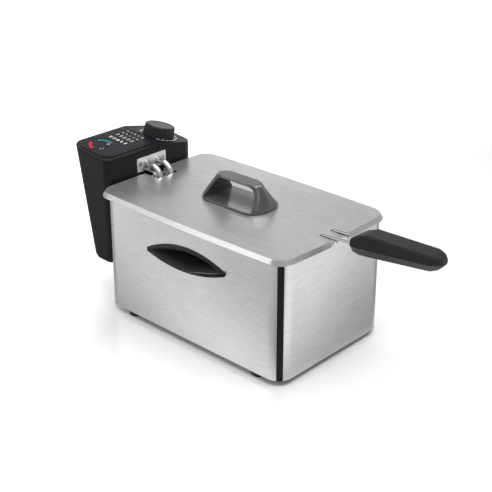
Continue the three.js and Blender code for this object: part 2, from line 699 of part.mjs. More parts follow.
function buildLid() {
  const rimBottom = LID_TOP - LID_RIM;
  const notchHalf = LID_REAR_NOTCH_WIDTH / 2;
  const slotHalf = PRONG_DIAMETER / 2 + 0.7;
  const slotStart = PRONG_X - PRONG_DIAMETER / 2 - SLIDE_GAP;
  const frontEdge = LID_FRONT + LID_FRONT_BOW + 5;
  const rimNotchHalf = LID_RIM_NOTCH_WIDTH / 2;
  let panel = cut(
    slab(lidOutline(0), rimBottom, LID_TOP, 8),
    slab(lidOutline(LID_SHEET), rimBottom - 1, LID_UNDERSIDE, 8),
    box(
      LID_REAR - 5, -notchHalf, rimBottom - 1,
      LID_REAR + LID_REAR_NOTCH_DEPTH, notchHalf, LID_TOP + 1,
    ),
    box(
      LID_FRONT - LID_SHEET - 1, -rimNotchHalf, rimBottom - 1,
      frontEdge, rimNotchHalf, LID_UNDERSIDE,
    ),
  );
  for (const y of prongYs()) {
    panel = panel.subtract(
      box(slotStart, y - slotHalf, rimBottom - 1, frontEdge, y + slotHalf, LID_TOP + 1),
    );
  }
  const screws = [];
  for (const x of handleScrewXs()) {
    panel = panel.subtract(
      pillar(x, 0, LID_UNDERSIDE - 1, LID_TOP + 1, HANDLE_SCREW_DIAMETER + 2 * TURN_GAP),
    );
    const head = LID_UNDERSIDE - SEAT_GAP;
    screws.push(pillar(x, 0, head - 1.6, head, 8)
      .add(pillar(x, 0, head - 0.5, LID_TOP + HANDLE_BOSS - 3, HANDLE_SCREW_DIAMETER)));
  }
  addPiece('lid_panel', panel, STEEL);
  addSet('lid_handle_screw', screws, BRIGHT_STEEL);
}

/** Where the two screws hold the lid handle. */
const handleScrewXs = () => [-1, 1].map(
  (sign) => HANDLE_X + sign * (HANDLE_LENGTH / 2 - HANDLE_SCREW_INSET),
);

/** One level section of the lid handle, as a ring of points. */
function handleRing(rise, halfLength, halfWidth) {
  const radius = halfWidth * HANDLE_END_ROUNDNESS;
  const outline = roundedRectangle(2 * halfLength, 2 * halfWidth, radius, HANDLE_X);
  const z = LID_TOP + SEAT_GAP + rise;
  return outline.getPoints(HANDLE_CORNER_SEGMENTS).slice(1).map((p) => v3(p.x, p.y, z));
}

function buildLidHandle() {
  const base = LID_TOP + SEAT_GAP;
  const crown = base + HANDLE_RISE;
  const foot = HANDLE_LENGTH / 2;
  const wide = HANDLE_WIDTH / 2;
  const narrow = HANDLE_BAR_WIDTH / 2;
  const body = loft([
    handleRing(0, foot - 0.6, wide - 0.6),
    handleRing(HANDLE_FOOT, foot, wide),
    handleRing(8, foot - 2.4, wide - 4.5),
    handleRing(14, foot - 5, wide - 9.4),
    handleRing(20, foot - 9, wide - 13.4),
    handleRing(HANDLE_RISE - 2.5, foot - 15, narrow + 0.2),
    handleRing(HANDLE_RISE, foot - 18, narrow - 1),
  ]);

  // the finger tunnel, seen from the side
  const floor = base + HANDLE_FOOT;
  const roof = crown - HANDLE_BAR_THICKNESS;
  const rear = HANDLE_X - foot;
  const front = HANDLE_X + foot;
  const tunnel = new THREE.Shape();
  tunnel.moveTo(rear + 12, floor);
  tunnel.lineTo(front - 14, floor);
  tunnel.bezierCurveTo(front - 12, floor + 12, front - 16, roof - 2, front - 26, roof);
  tunnel.lineTo(rear + 28, roof);
  tunnel.bezierCurveTo(rear + 20, roof - 1, rear + 16, floor + 10, rear + 12, floor);

  // the foot is dished between the legs
  const dishDepth = HANDLE_FOOT - 1.4;
  const dish = roundedRectangle(
    HANDLE_LENGTH - 34, HANDLE_WIDTH - 7, wide - 6, HANDLE_X,
  );
  const bosses = handleScrewXs().map((x) => pillar(x, 0, base + 1, base + HANDLE_BOSS, 11));
  const bores = handleScrewXs().map((x) => (
    pillar(x, 0, base - 1, base + HANDLE_BOSS - 2, HANDLE_SCREW_DIAMETER + 2 * TURN_GAP)
  ));
  const hollowed = cut(
    body,
    slabAlongY(tunnel, -wide - 2, wide + 2, 6),
    slab(dish, floor - dishDepth, floor + 1, HANDLE_CORNER_SEGMENTS),
  );
  addPiece('lid_handle', cut(join([hollowed, ...bosses]), ...bores), GREY_PLASTIC);
}

// -------------------------------------------------------------- control unit

/** Plan outline of the control unit at a height, as a ring of points. */
function controlRing(z, inset) {
  const rise = (z - CONTROL_GROUND_CLEARANCE)
    / (CONTROL_FRONT_HEIGHT - CONTROL_GROUND_CLEARANCE);
  const depth = CONTROL_BOTTOM_DEPTH + rise * (CONTROL_TOP_DEPTH - CONTROL_BOTTOM_DEPTH);
  const rear = CONTROL_FRONT - depth + inset;
  const front = CONTROL_FRONT - inset;
  const side = CONTROL_WIDTH / 2 - inset;
  const rearRadius = CONTROL_REAR_RADIUS - inset;
  const frontRadius = Math.max(1, CONTROL_FRONT_RADIUS - inset);
  const knobRadius = Math.max(1, CONTROL_KNOB_CORNER_RADIUS - inset);
  const ring = [];
  const corner = (cx, cy, radius, from) => {
    for (let i = 0; i <= CURVE_SEGMENTS; i += 1) {
      const angle = from + (i / CURVE_SEGMENTS) * (Math.PI / 2);
      ring.push(v3(cx + radius * Math.cos(angle), cy + radius * Math.sin(angle), z));
    }
  };
  corner(front - knobRadius, side - knobRadius, knobRadius, 0);
  corner(rear + rearRadius, side - rearRadius, rearRadius, Math.PI / 2);
  corner(rear + rearRadius, -side + rearRadius, rearRadius, Math.PI);
  corner(front - frontRadius, -side + frontRadius, frontRadius, Math.PI * 1.5);
  return ring;
}

/** The control unit's outside without its sloping top, pulled in by an inset. */
function controlBlock(inset) {
  const bottom = CONTROL_GROUND_CLEARANCE + inset;
  const round = CONTROL_BOTTOM_ROUND;
  return loft([
    controlRing(bottom, inset + round), controlRing(bottom + round * 0.3, inset + round * 0.3),
    controlRing(bottom + round, inset), controlRing(CONTROL_TALL, inset),
  ]);
}

/** Height of the main panel plane above the floor. */
const panelHeight = (x) => (
  CONTROL_FRONT_HEIGHT + CONTROL_PANEL_SLOPE * (CONTROL_FRONT - x)
);

/** Height of the knob facet above the floor. */
const facetHeight = (x, y) => (
  CONTROL_FRONT_HEIGHT + CONTROL_FACET_SLOPE_X * (CONTROL_FRONT - x)
  - CONTROL_FACET_SLOPE * (y - CONTROL_FACET_START)
);

const panelNormal = v3(CONTROL_PANEL_SLOPE, 0, 1).normalize();
const facetNormal = v3(CONTROL_FACET_SLOPE_X, CONTROL_FACET_SLOPE, 1).normalize();

/** Everything above a plane, as one big block. */
function above(point, normal) {
  const size = 400;
  const turn = new THREE.Quaternion().setFromUnitVectors(v3(0, 0, 1), normal);
  const geometry = new THREE.BoxGeometry(size, size, size).translate(0, 0, size / 2);
  return solid(geometry.applyQuaternion(turn).translate(point.x, point.y, point.z));
}

/** A solid with its top cut to the panel and the facet, lowered by a drop. */
function underPanel(body, drop) {
  const lower = (height) => height - drop;
  const panelPoint = v3(CONTROL_FRONT, 0, lower(panelHeight(CONTROL_FRONT)));
  const facetPoint = v3(
    CONTROL_FRONT, CONTROL_FACET_START, lower(facetHeight(CONTROL_FRONT, CONTROL_FACET_START)),
  );
  return cut(body, above(panelPoint, panelNormal), above(facetPoint, facetNormal));
}

/** Heater leg positions across the unit. */
const legYs = () => [-HEATER_SPACING / 2, HEATER_SPACING / 2];

/** Prong positions across the basket. */
const prongYs = () => [-PRONG_SPACING / 2, PRONG_SPACING / 2];

/** A frame on the knob facet: its own Z is the knob's axis. */
function facetGroup() {
  const group = new THREE.Group();
  group.position.set(KNOB_X, KNOB_Y, facetHeight(KNOB_X, KNOB_Y));
  group.quaternion.setFromUnitVectors(v3(0, 0, 1), facetNormal);
  group.updateMatrixWorld(true);
  return group;
}

/** A frame on the main panel under the lamps. */
function labelGroup() {
  const group = new THREE.Group();
  const x = CONTROL_FRONT - LAMP_FROM_FRONT;
  group.position.set(x, LAMP_Y, panelHeight(x));
  group.quaternion.setFromUnitVectors(v3(0, 0, 1), panelNormal);
  group.updateMatrixWorld(true);
  return group;
}

/** A solid drawn in a group's frame, moved to the assembly's frame. */
function inFrameOf(group, body) {
  return solid(geometryOf(body).applyMatrix4(group.matrixWorld));
}

const PLATE_RECESS = PLATE_THICKNESS + SEAT_GAP + 0.2;
const PLATE_BOTTOM = HEATER_HEIGHT - PLATE_HEIGHT / 2;
const PLATE_TOP = HEATER_HEIGHT + PLATE_HEIGHT / 2;
const SENSOR_Y = -HEATER_SPACING / 2 - SENSOR_FROM_LEG;
const SENSOR_DROP_Y = SENSOR_Y - SENSOR_SIDE_STEP;
const SENSOR_HEIGHT = HEATER_HEIGHT - SENSOR_BELOW_LEGS;
const PIN_HEIGHT = RAIL_BOTTOM + 24;
const TONGUE_HALF = RAIL_WIDTH / 2 - RAIL_SHEET - SLIDE_GAP;
const RESET_HEIGHT = 104;
const RESET_Y = 34;
const INLET_X = CONTROL_FRONT - 24;
const INLET_Y = -46;
// distance behind the front face, and y, of each cover screw
const COVER_SCREWS = [[-18, -62], [-34, 0], [-17, 62]];

function buildControlHousing() {
  const front = CONTROL_FRONT;
  const seam = COVER_THICKNESS + SEAT_GAP;
  const bossHalf = PLATE_WIDTH / 2 + BOSS_SIDE_MARGIN;
  const boss = box(
    front - BOSS_DEPTH, -bossHalf, PLATE_BOTTOM - BOSS_BELOW,
    front - 1, bossHalf, PLATE_TOP + BOSS_ABOVE,
  );
  const bossFloor = front - RESET_WELL;
  const resetBore = RESET_BUTTON_DIAMETER + 2 * TURN_GAP;
  const resetBoss = rod(RESET_Y, RESET_HEIGHT, CONTROL_REAR_TOP, bossFloor, RESET_BOSS_DIAMETER)
    .intersect(controlBlock(0.5));
  const posts = COVER_SCREWS.map(([dx, y]) => (
    pillar(front + dx, y, CONTROL_CAVITY_FLOOR - 1, CONTROL_TALL - 5, COVER_POST_DIAMETER)
      .intersect(controlBlock(0.5))
  ));
  const shell = cut(controlBlock(0), controlBlock(CONTROL_WALL));
  const neck = join([
    box(front - 1, -TONGUE_HALF + RAIL_JAW + 2, RAIL_BOTTOM + SEAT_GAP,
      front + 6, TONGUE_HALF - RAIL_JAW - 2, RAIL_BOTTOM + RAIL_HEIGHT - 8),
    box(front + 2 + RAIL_SHEET + SLIDE_GAP, -TONGUE_HALF, RAIL_BOTTOM + SEAT_GAP,
      RAIL_FACE - 2.4, TONGUE_HALF, RAIL_BOTTOM + RAIL_HEIGHT - 8),
  ]);
  let body = underPanel(join([shell, boss, resetBoss, ...posts]), seam).add(neck);
  const holes = [
    box(front - PLATE_RECESS, -PLATE_WIDTH / 2 - 0.4, PLATE_BOTTOM - 0.4,
      front + 1, PLATE_WIDTH / 2 + 0.4, PLATE_TOP + 0.4),
    rod(SENSOR_Y, SENSOR_HEIGHT, front - BOSS_DEPTH - 2, front, SENSOR_DIAMETER + 2 * TURN_GAP),
    rod(0, PIN_HEIGHT, front - 5, RAIL_FACE, 4 + 2 * TURN_GAP),
    rod(RESET_Y, RESET_HEIGHT, CONTROL_REAR_TOP, bossFloor + 1, resetBore),
    pillar(INLET_X, INLET_Y, CONTROL_GROUND_CLEARANCE - 1, CONTROL_CAVITY_FLOOR + 1,
      12 + 2 * TURN_GAP),
  ];
  for (const y of legYs()) {
    const bore = HEATER_DIAMETER + 2 * TURN_GAP;
    holes.push(rod(y, HEATER_HEIGHT, front - BOSS_DEPTH - 2, front, bore));
  }
  for (const sign of [-1, 1]) {
    const bore = PLATE_SCREW_DIAMETER + 2 * TURN_GAP;
    const y = sign * PLATE_SCREW_SPACING / 2;
    holes.push(rod(y, HEATER_HEIGHT, front - BOSS_DEPTH + 0.5, front, bore));
  }
  for (const [dx, y] of COVER_SCREWS) {
    const top = screwTop(front + dx, y);
    const bore = COVER_SCREW_DIAMETER + 0.6;
    const well = COVER_SCREW_HEAD + 0.6;
    holes.push(pillar(front + dx, y, CONTROL_GROUND_CLEARANCE - 2, top - 8, well));
    holes.push(pillar(front + dx, y, top - 9, top + 9, bore));
  }
  body = cut(body, ...holes);
  addPiece('control_housing', body, BLACK_PLASTIC);
}

/** Height of the seam under the cover at a cover screw. */
function screwTop(x, y) {
  const surface = Math.min(panelHeight(x), facetHeight(x, y));
  return surface - COVER_THICKNESS - SEAT_GAP;
}

function buildControlCover(facet, label) {
  const block = controlBlock(0);
  const slabTop = underPanel(block, 0);
  const cover = cut(slabTop, underPanel(controlBlock(-5), COVER_THICKNESS));
  const holes = [
    inFrameOf(facet, pillar(0, 0, -20, 20, SHAFT_DIAMETER + 2 * TURN_GAP + 0.6)),
    ...lampStems().map((stem) => inFrameOf(label, pillar(
      stem.x, stem.y, -20, 20, stem.diameter + 2 * TURN_GAP, SMALL_SIDES,
    ))),
  ];
  const screws = [];
  for (const [dx, y] of COVER_SCREWS) {
    const x = CONTROL_FRONT + dx;
    const top = screwTop(x, y);
    holes.push(pillar(x, y, top - 5, top + 2.1, COVER_SCREW_DIAMETER + 0.6));
    screws.push(pillar(x, y, top - 10.2, top - 8.3, COVER_SCREW_HEAD)
      .add(pillar(x, y, top - 8.8, top + 1.8, COVER_SCREW_DIAMETER)));
  }
  addPiece('control_cover', cut(cover, ...holes), BLACK_PLASTIC);
  addSet('cover_screw', screws, BRIGHT_STEEL);
}

// lamps are arcs of one circle round the label frame's origin
const RED_ARC = [198, 276];
const TEAL_ARC = [72, 156];

/** Light-pipe stems under the middle of each lamp lens. */
function lampStems() {
  return [RED_ARC, TEAL_ARC].map(([from, to]) => {
    const angle = THREE.MathUtils.degToRad((from + to) / 2);
    return {
      x: LAMP_RING_RADIUS * Math.cos(angle),
      y: LAMP_RING_RADIUS * Math.sin(angle),
      diameter: LAMP_WIDTH,
    };
  });
}

/** A crescent between two angles of the lamp circle. */
function crescent([from, to], grow) {
  const start = THREE.MathUtils.degToRad(from) - grow / LAMP_RING_RADIUS;
  const end = THREE.MathUtils.degToRad(to) + grow / LAMP_RING_RADIUS;
  const outer = LAMP_RING_RADIUS + LAMP_WIDTH / 2 + grow;
  const inner = LAMP_RING_RADIUS - LAMP_WIDTH / 2 - grow;
  const shape = new THREE.Shape();
  shape.absarc(0, 0, outer, start, end, false);
  shape.absarc(0, 0, inner, end, start, true);
  return shape;
}

function buildLabelAndLamps(label) {
  const front = LAMP_FROM_FRONT - 6;
  const rear = -(CONTROL_TOP_DEPTH - LAMP_FROM_FRONT) + 5;
  const near = -(CONTROL_WIDTH / 2 + LAMP_Y) + 5;
  const far = CONTROL_FACET_START - LAMP_Y - 1.5;
  const lift = 0.15;
  const sheet = cut(
    slab(
      roundedRectangle(front - rear, far - near, 14, (front + rear) / 2, (far + near) / 2),
      lift, lift + LABEL_THICKNESS,
    ),
    slab(crescent(RED_ARC, 0.3), -1, 3),
    slab(crescent(TEAL_ARC, 0.3), -1, 3),
  );
  addPiece('control_label', sheet, LABEL_INK, label);
  const lens = (arc, stem) => slab(crescent(arc, 0), lift, lift + LABEL_THICKNESS + 0.5)
    .add(pillar(stem.x, stem.y, -12, lift + 0.3, stem.diameter));
  const [redStem, tealStem] = lampStems();
  addPiece('power_lamp', lens(RED_ARC, redStem), RED_LENS, label);
  addPiece('ready_lamp', lens(TEAL_ARC, tealStem), TEAL_LENS, label);
}

function buildKnob(facet) {
  const grip = [];
  const step = (Math.PI * 2) / KNOB_FLUTES;
  const radius = KNOB_DIAMETER / 2;
  for (let i = 0; i < KNOB_FLUTES; i += 1) {
    grip.push(v3(radius * Math.cos(i * step), radius * Math.sin(i * step), 0));
    const mid = (i + 0.5) * step;
    grip.push(v3((radius - 0.35) * Math.cos(mid), (radius - 0.35) * Math.sin(mid), 0));
  }
  const ring = (scale, z) => grip.map((p) => v3(p.x * scale, p.y * scale, z));
  const top = KNOB_LIFT + KNOB_HEIGHT;
  const bore = SHAFT_DIAMETER + 2 * SEAT_GAP;
  const skirt = KNOB_LIFT + 3;
  const body = cut(
    loft([
      ring(1, KNOB_LIFT), ring(0.965, top - 1.6), ring(0.9, top),
    ]),
    pillar(0, 0, KNOB_LIFT - 1, skirt, KNOB_DIAMETER - 6),
    pillar(0, 0, KNOB_LIFT - 1, top - 3, bore),
  );
  addPiece('knob', body, BLACK_PLASTIC, facet);

  const shaftEnd = -COVER_THICKNESS - SHAFT_REACH;
  const collarTop = shaftEnd + 2;
  const shaft = pillar(0, 0, shaftEnd, top - 3.4, SHAFT_DIAMETER)
    .add(pillar(0, 0, shaftEnd, collarTop, SHAFT_COLLAR));
  addPiece('knob_shaft', shaft, BRIGHT_STEEL, facet);

  const dial = cut(
    pillar(0, 0, 0.15, 0.15 + DIAL_THICKNESS, DIAL_DIAMETER, 48),
    pillar(0, 0, -1, 2, SHAFT_DIAMETER + 4),
    box(-60, -60, -3, 60, CONTROL_FACET_START - KNOB_Y + 1.2, 3),
  );
  addPiece('dial_ring', dial, GREY_PLASTIC, facet);

  const under = -COVER_THICKNESS - SEAT_GAP;
  const thermostat = cut(
    pillar(0, 0, under - THERMOSTAT_DEPTH, under, THERMOSTAT_DIAMETER),
    pillar(0, 0, collarTop, under + 1, SHAFT_DIAMETER + 2 * TURN_GAP),
    pillar(0, 0, shaftEnd - TURN_GAP, collarTop + TURN_GAP, SHAFT_COLLAR + 2 * TURN_GAP),
  );
  addPiece('thermostat_body', thermostat, CERAMIC, facet);
}

function buildControlInternals() {
  const front = CONTROL_FRONT;
  const floor = CONTROL_CAVITY_FLOOR + SEAT_GAP;
  const wall = front - CONTROL_WALL - SEAT_GAP;
  addPiece('terminal_block', box(front - 32, 10, floor, front - 14, 40, floor + 14), CERAMIC);
  addPiece('interlock_switch', box(wall - 18, 5.5, PIN_HEIGHT - 6, wall, 12.5, PIN_HEIGHT + 6),
    BLACK_PLASTIC);
  const pinFront = RAIL_FACE - SEAT_GAP;
  const pin = rod(0, PIN_HEIGHT, wall - 8, pinFront, 4)
    .add(rod(0, PIN_HEIGHT, wall - 2, wall, 8));
  addPiece('interlock_pin', pin, BRASS);

  const bossFloor = front - RESET_WELL + SEAT_GAP;
  const resetBore = RESET_BUTTON_DIAMETER + 2 * TURN_GAP;
  const cutout = cut(
    rod(RESET_Y, RESET_HEIGHT, bossFloor, bossFloor + CUTOUT_LENGTH, CUTOUT_DIAMETER),
    rod(RESET_Y, RESET_HEIGHT, bossFloor - 1, bossFloor + RESET_BUTTON_DIAMETER, resetBore),
  );
  addPiece('thermal_cutout', cutout, CERAMIC);
  const rearFace = rearFaceAt(RESET_HEIGHT);
  const button = rod(
    RESET_Y, RESET_HEIGHT, rearFace - 2.5, bossFloor + 4, RESET_BUTTON_DIAMETER,
  );
  addPiece('reset_button', button, RED_LENS);

  const low = CONTROL_GROUND_CLEARANCE - SEAT_GAP;
  const inlet = cut(
    join([
      pillar(INLET_X, INLET_Y, low - 2.5, low, 17),
      pillar(INLET_X, INLET_Y, low - 0.5, floor + 0.5, 12),
      pillar(INLET_X, INLET_Y, floor, floor + 3, 15),
    ]),
    pillar(INLET_X, INLET_Y, low - 4, floor + 5, 7.6),
  );
  addPiece('cord_inlet', inlet, RUBBER);
}

/** X of the control unit's rear face at a height. */
function rearFaceAt(z) {
  return Math.min(...controlRing(z, 0).map((p) => p.x));
}

// -------------------------------------------------------------------- heater

function buildHeater() {
  const front = CONTROL_FRONT;
  const plateBack = front - PLATE_RECESS + SEAT_GAP;
  const plateFront = plateBack + PLATE_THICKNESS;
  const plateShape = new THREE.Shape();
  const w = PLATE_WIDTH / 2;
  const r = PLATE_CORNER;
  plateShape.moveTo(-w + r, PLATE_BOTTOM);
  plateShape.lineTo(w - r, PLATE_BOTTOM);
  plateShape.absarc(w - r, PLATE_BOTTOM + r, r, -Math.PI / 2, 0);
  plateShape.absarc(w - r, PLATE_TOP - r, r, 0, Math.PI / 2);
  plateShape.absarc(-w + r, PLATE_TOP - r, r, Math.PI / 2, Math.PI);
  plateShape.absarc(-w + r, PLATE_BOTTOM + r, r, Math.PI, Math.PI * 1.5);
  let plate = slabAlongX(plateShape, plateBack, plateFront, 4);
  const screws = [];
  for (const sign of [-1, 1]) {
    const y = sign * PLATE_SCREW_SPACING / 2;
    const sink = PLATE_SCREW_HEAD + 0.8;
    const tip = front - BOSS_DEPTH + 0.8;
    plate = plate.subtract(rod(y, HEATER_HEIGHT, plateBack - 1, plateFront + 1, sink));
    screws.push(rod(y, HEATER_HEIGHT, plateBack + 0.1, plateFront, PLATE_SCREW_HEAD)
      .add(rod(y, HEATER_HEIGHT, tip, plateBack + 0.5, PLATE_SCREW_DIAMETER)));
  }
  const collars = [];
  for (const y of legYs()) {
    const hole = HEATER_DIAMETER + 2 * SEAT_GAP;
    plate = plate.subtract(rod(y, HEATER_HEIGHT, plateBack - 1, plateFront + 1, hole));
    collars.push(cut(
      rod(y, HEATER_HEIGHT, plateFront + SEAT_GAP, plateFront + SEAT_GAP + COLLAR_LENGTH,
        COLLAR_DIAMETER),
      rod(y, HEATER_HEIGHT, plateFront, plateFront + COLLAR_LENGTH + 1, hole),
    ));
  }
  plate = plate.subtract(
    rod(SENSOR_Y, SENSOR_HEIGHT, plateBack - 1, plateFront + 1, SENSOR_DIAMETER + 2 * SEAT_GAP),
  );
  addPiece('heater_plate', plate, BRIGHT_STEEL);
  addSet('plate_screw', screws, STEEL);
  addSet('heater_collar', collars, BRIGHT_STEEL);

  const half = HEATER_SPACING / 2;
  const loop = HEATER_LOOP_HEIGHT;
  const wide = HEATER_LOOP_HALF_WIDTH;
  const leg = (sign) => [
    v3(front - 16, sign * half, HEATER_HEIGHT),
    v3(HEATER_DROP_X, sign * half, HEATER_HEIGHT),
    v3(HEATER_DROP_X + 1.5, sign * half, loop + 36),
    v3(HEATER_DROP_X + 10, sign * wide, loop),
    v3(HEATER_LOOP_FRONT, sign * wide, loop),
  ];
  const corners = [...leg(-1), ...leg(1).reverse()];
  addPiece('heating_element', bar(new BentWire(corners, HEATER_BEND), HEATER_DIAMETER, 10), BRIGHT_STEEL);
}

/** The thermostat's capillary and bulb, which run down beside one heater leg. */
function buildSensor() {
  const bulbX = HEATER_DROP_X + 1;
  const wire = new BentWire([
    v3(CONTROL_FRONT - 14, SENSOR_Y, SENSOR_HEIGHT),
    v3(CONTROL_FRONT + 6, SENSOR_Y, SENSOR_HEIGHT),
    v3(HEATER_DROP_X - 2, SENSOR_DROP_Y, SENSOR_HEIGHT - 0.5),
    v3(bulbX, SENSOR_DROP_Y, SENSOR_END_HEIGHT + SENSOR_BULB),
    v3(bulbX, SENSOR_DROP_Y, SENSOR_END_HEIGHT),
  ], 7);
  addPiece('sensor_capillary', bar(wire, SENSOR_DIAMETER, 8), STEEL);

  // a snap-on strap that keeps the two heater legs apart
  const low = STRAP_HEIGHT;
  const high = STRAP_HEIGHT + STRAP_THICKNESS;
  const half = HEATER_SPACING / 2;
  const legX = HEATER_DROP_X + 0.4;
  const strap = cut(
    box(legX - 4.9, -half - STRAP_REACH, low, legX + 6.5, half + STRAP_REACH, high),
    ...legYs().map((y) => pillar(legX, y, low - 1, high + 1, HEATER_DIAMETER + 2 * SEAT_GAP)),
  );
  addPiece('heater_strap', strap, BRIGHT_STEEL);
}

// -------------------------------------------------------------------- basket

function basketOutline(inset) {
  return roundedRectangle(
    BASKET_LENGTH - 2 * inset, BASKET_WIDTH - 2 * inset, BASKET_RADIUS - inset, BASKET_OFFSET,
  );
}

function ringSlab(inset, width, bottom, top) {
  return cut(
    slab(basketOutline(inset), bottom, top),
    slab(basketOutline(inset + width), bottom - 1, top + 1),
  );
}

function buildBasket() {
  const front = BASKET_OFFSET + BASKET_LENGTH / 2;
  const rear = BASKET_OFFSET - BASKET_LENGTH / 2;
  const mesh = cut(
    slab(basketOutline(BASKET_BAND - BASKET_SHEET), BASKET_BOTTOM, BASKET_TOP - BASKET_BAND - SEAT_GAP),
    slab(basketOutline(BASKET_BAND), BASKET_BOTTOM + BASKET_SHEET, BASKET_TOP),
  );
  addPiece('basket_mesh', mesh, BRIGHT_STEEL);

  // the frame: a rim band and two rear hooks that rest on the pot's flange
  const hookBottom = POT_FLANGE_TOP + SEAT_GAP;
  const hookTop = hookBottom + BASKET_SHEET;
  const hookReach = -POT_LENGTH / 2 - 1.5;
  const hooks = [-1, 1].map((sign) => {
    const y = sign * BASKET_HOOK_SPACING / 2;
    const half = BASKET_HOOK_WIDTH / 2;
    const lift = box(rear, y - half, BASKET_TOP - BASKET_BAND, rear + BASKET_SHEET, y + half, hookTop);
    return lift.add(box(hookReach, y - half, hookBottom, rear + BASKET_SHEET, y + half, hookTop));
  });
  const rim = ringSlab(0, BASKET_BAND, BASKET_TOP - BASKET_BAND, BASKET_TOP);
  addPiece('basket_frame', join([rim, ...hooks]), BRIGHT_STEEL);

  // the bracket: a strip over the pot's front flange with two upright sockets
  const half = 16;
  const outer = PRONG_DIAMETER + 2 * SEAT_GAP + 2 * SOCKET_WALL;
  const bore = PRONG_DIAMETER + 2 * SEAT_GAP;
  const strip = box(front + SEAT_GAP, -half, hookBottom, POT_LENGTH / 2 + 3.5, half, hookTop);
  const apron = box(
    front + SEAT_GAP, -half, BASKET_TOP - 26, front + SEAT_GAP + BASKET_SHEET, half, hookTop,
  );
  const sockets = prongYs().map((y) => pillar(PRONG_X, y, hookTop - SOCKET_LENGTH, hookTop, outer));
  const bores = prongYs().map((y) => pillar(PRONG_X, y, hookTop - SOCKET_LENGTH - 1, hookTop + 1, bore));
  const web = box(
    front + SEAT_GAP, -2, hookTop - SOCKET_LENGTH, PRONG_X, 2, hookTop,
  );
  addPiece('basket_socket', cut(join([strip, apron, web, ...sockets]), ...bores), STEEL);
}

/** One section of the handle grip: flat on top, with wide chamfers under the sides. */
function gripSection(x, bottom, shoulder, top, half) {
  const keel = half * GRIP_KEEL;
  const edge = Math.min(GRIP_EDGE, half / 3);
  return [
    v3(x, keel, bottom), v3(x, half, shoulder), v3(x, half, top - edge),
    v3(x, half - edge, top), v3(x, -half + edge, top), v3(x, -half, top - edge),
    v3(x, -half, shoulder), v3(x, -keel, bottom),
  ];
}

const PRONG_HEIGHT = LID_TOP + 0.5;
const PRONG_TOP_X = GRIP_START_X + PRONG_IN_GRIP;

/** Height of the prong's straight run at a distance along X. */
const prongHeightAt = (x) => PRONG_HEIGHT + (x - PRONG_X) * PRONG_SLOPE;

/** Height of the grip's shoulder, where its two halves meet. */
const shoulderAt = (x) => (
  GRIP_SHOULDER_HEIGHT + (x - GRIP_START_X) * GRIP_SHOULDER_SLOPE
);

function prongPath(y) {
  return new BentWire([
    v3(PRONG_X, y, PRONG_HEIGHT - PRONG_DROP),
    v3(PRONG_X, y, PRONG_HEIGHT),
    v3(PRONG_TOP_X, y, prongHeightAt(PRONG_TOP_X)),
  ], 3.5);
}

function buildBasketHandle() {
  const x0 = GRIP_START_X;
  const x1 = GRIP_END_X;
  const wide = GRIP_HALF_WIDTH;
  const section = (x, keel, drop, slim) => {
    const shoulder = shoulderAt(x);
    return gripSection(x, shoulder - keel, shoulder, GRIP_TOP_HEIGHT - drop, wide - slim);
  };
  const whole = loft([
    ...GRIP_NEAR_SECTIONS.map(([along, ...rest]) => section(x0 + along, ...rest)),
    ...GRIP_FAR_SECTIONS.map(([along, ...rest]) => section(x1 - along, ...rest)),
  ]);
  const bores = prongYs().map((y) => {
    const [start, end] = [x0 - 4, PRONG_TOP_X + 2].map((x) => v3(x, y, prongHeightAt(x)));
    return bar(new BentWire([start, end], 0), PRONG_DIAMETER + 2 * SEAT_GAP, 10);
  });
  const far = 20;
  const upperShape = new THREE.Shape();
  upperShape.moveTo(x0 - far, shoulderAt(x0 - far));
  upperShape.lineTo(x1 + far, shoulderAt(x1 + far));
  upperShape.lineTo(x1 + far, LID_TOP + 2 * far + 10);
  upperShape.lineTo(x0 - far, LID_TOP + 2 * far + 10);
  upperShape.lineTo(x0 - far, shoulderAt(x0 - far));
  const upperZone = slabAlongY(upperShape, -2 * far, 2 * far);

  const screwX = x1 - GRIP_SCREW_INSET;
  const seat = shoulderAt(screwX) - 3.4;
  const tip = seat + 11;
  const bore = pillar(screwX, 0, seat - 30, tip + 0.6, GRIP_SCREW_DIAMETER + 0.6)
    .add(pillar(screwX, 0, seat - 30, seat, GRIP_SCREW_HEAD + 0.8));
  const drilled = cut(whole, ...bores, bore);
  addPiece('grip_upper', drilled.intersect(upperZone), BLACK_PLASTIC);
  addPiece('grip_lower', drilled.subtract(upperZone.translate([0, 0, -SEAT_GAP])), BLACK_PLASTIC);
  const head = seat - SEAT_GAP;
  const screw = pillar(screwX, 0, head - 2, head, GRIP_SCREW_HEAD)
    .add(pillar(screwX, 0, head - 0.5, tip, GRIP_SCREW_DIAMETER));
  addPiece('grip_screw', screw, BRIGHT_STEEL);
  addSet('prong', prongYs().map((y) => bar(prongPath(y), PRONG_DIAMETER, 8)), BRIGHT_STEEL);
}

// ------------------------------------------------------------------ put together

const facet = facetGroup();
const label = labelGroup();
assembly.add(facet, label);

buildHousing();
buildBase();
buildSideGrip('side_grip_left', -1);
buildSideGrip('side_grip_right', 1);
buildRail();
buildPot();
buildLid();
buildLidHandle();
buildControlHousing();
buildControlCover(facet, label);
buildLabelAndLamps(label);
buildKnob(facet);
buildControlInternals();
buildHeater();
buildSensor();
buildBasket();
buildBasketHandle();

const centred = new THREE.Group();
centred.add(assembly);
const extent = new THREE.Box3().setFromObject(assembly);
assembly.position.x = -(extent.min.x + extent.max.x) / 2;

export default centred;
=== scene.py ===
"""Deep fryer: steel housing, lift-out oil pot, hook-on control unit, wire basket and lid.

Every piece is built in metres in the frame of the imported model: +X runs from the
control unit to the end of the basket handle, +Y to the side of the knob, +Z up.
"""

from __future__ import annotations

import json
import logging
import math
from dataclasses import dataclass
from enum import Enum
from typing import Any, Iterable, Sequence, Union

import bmesh
import bpy
from mathutils import Matrix, Vector

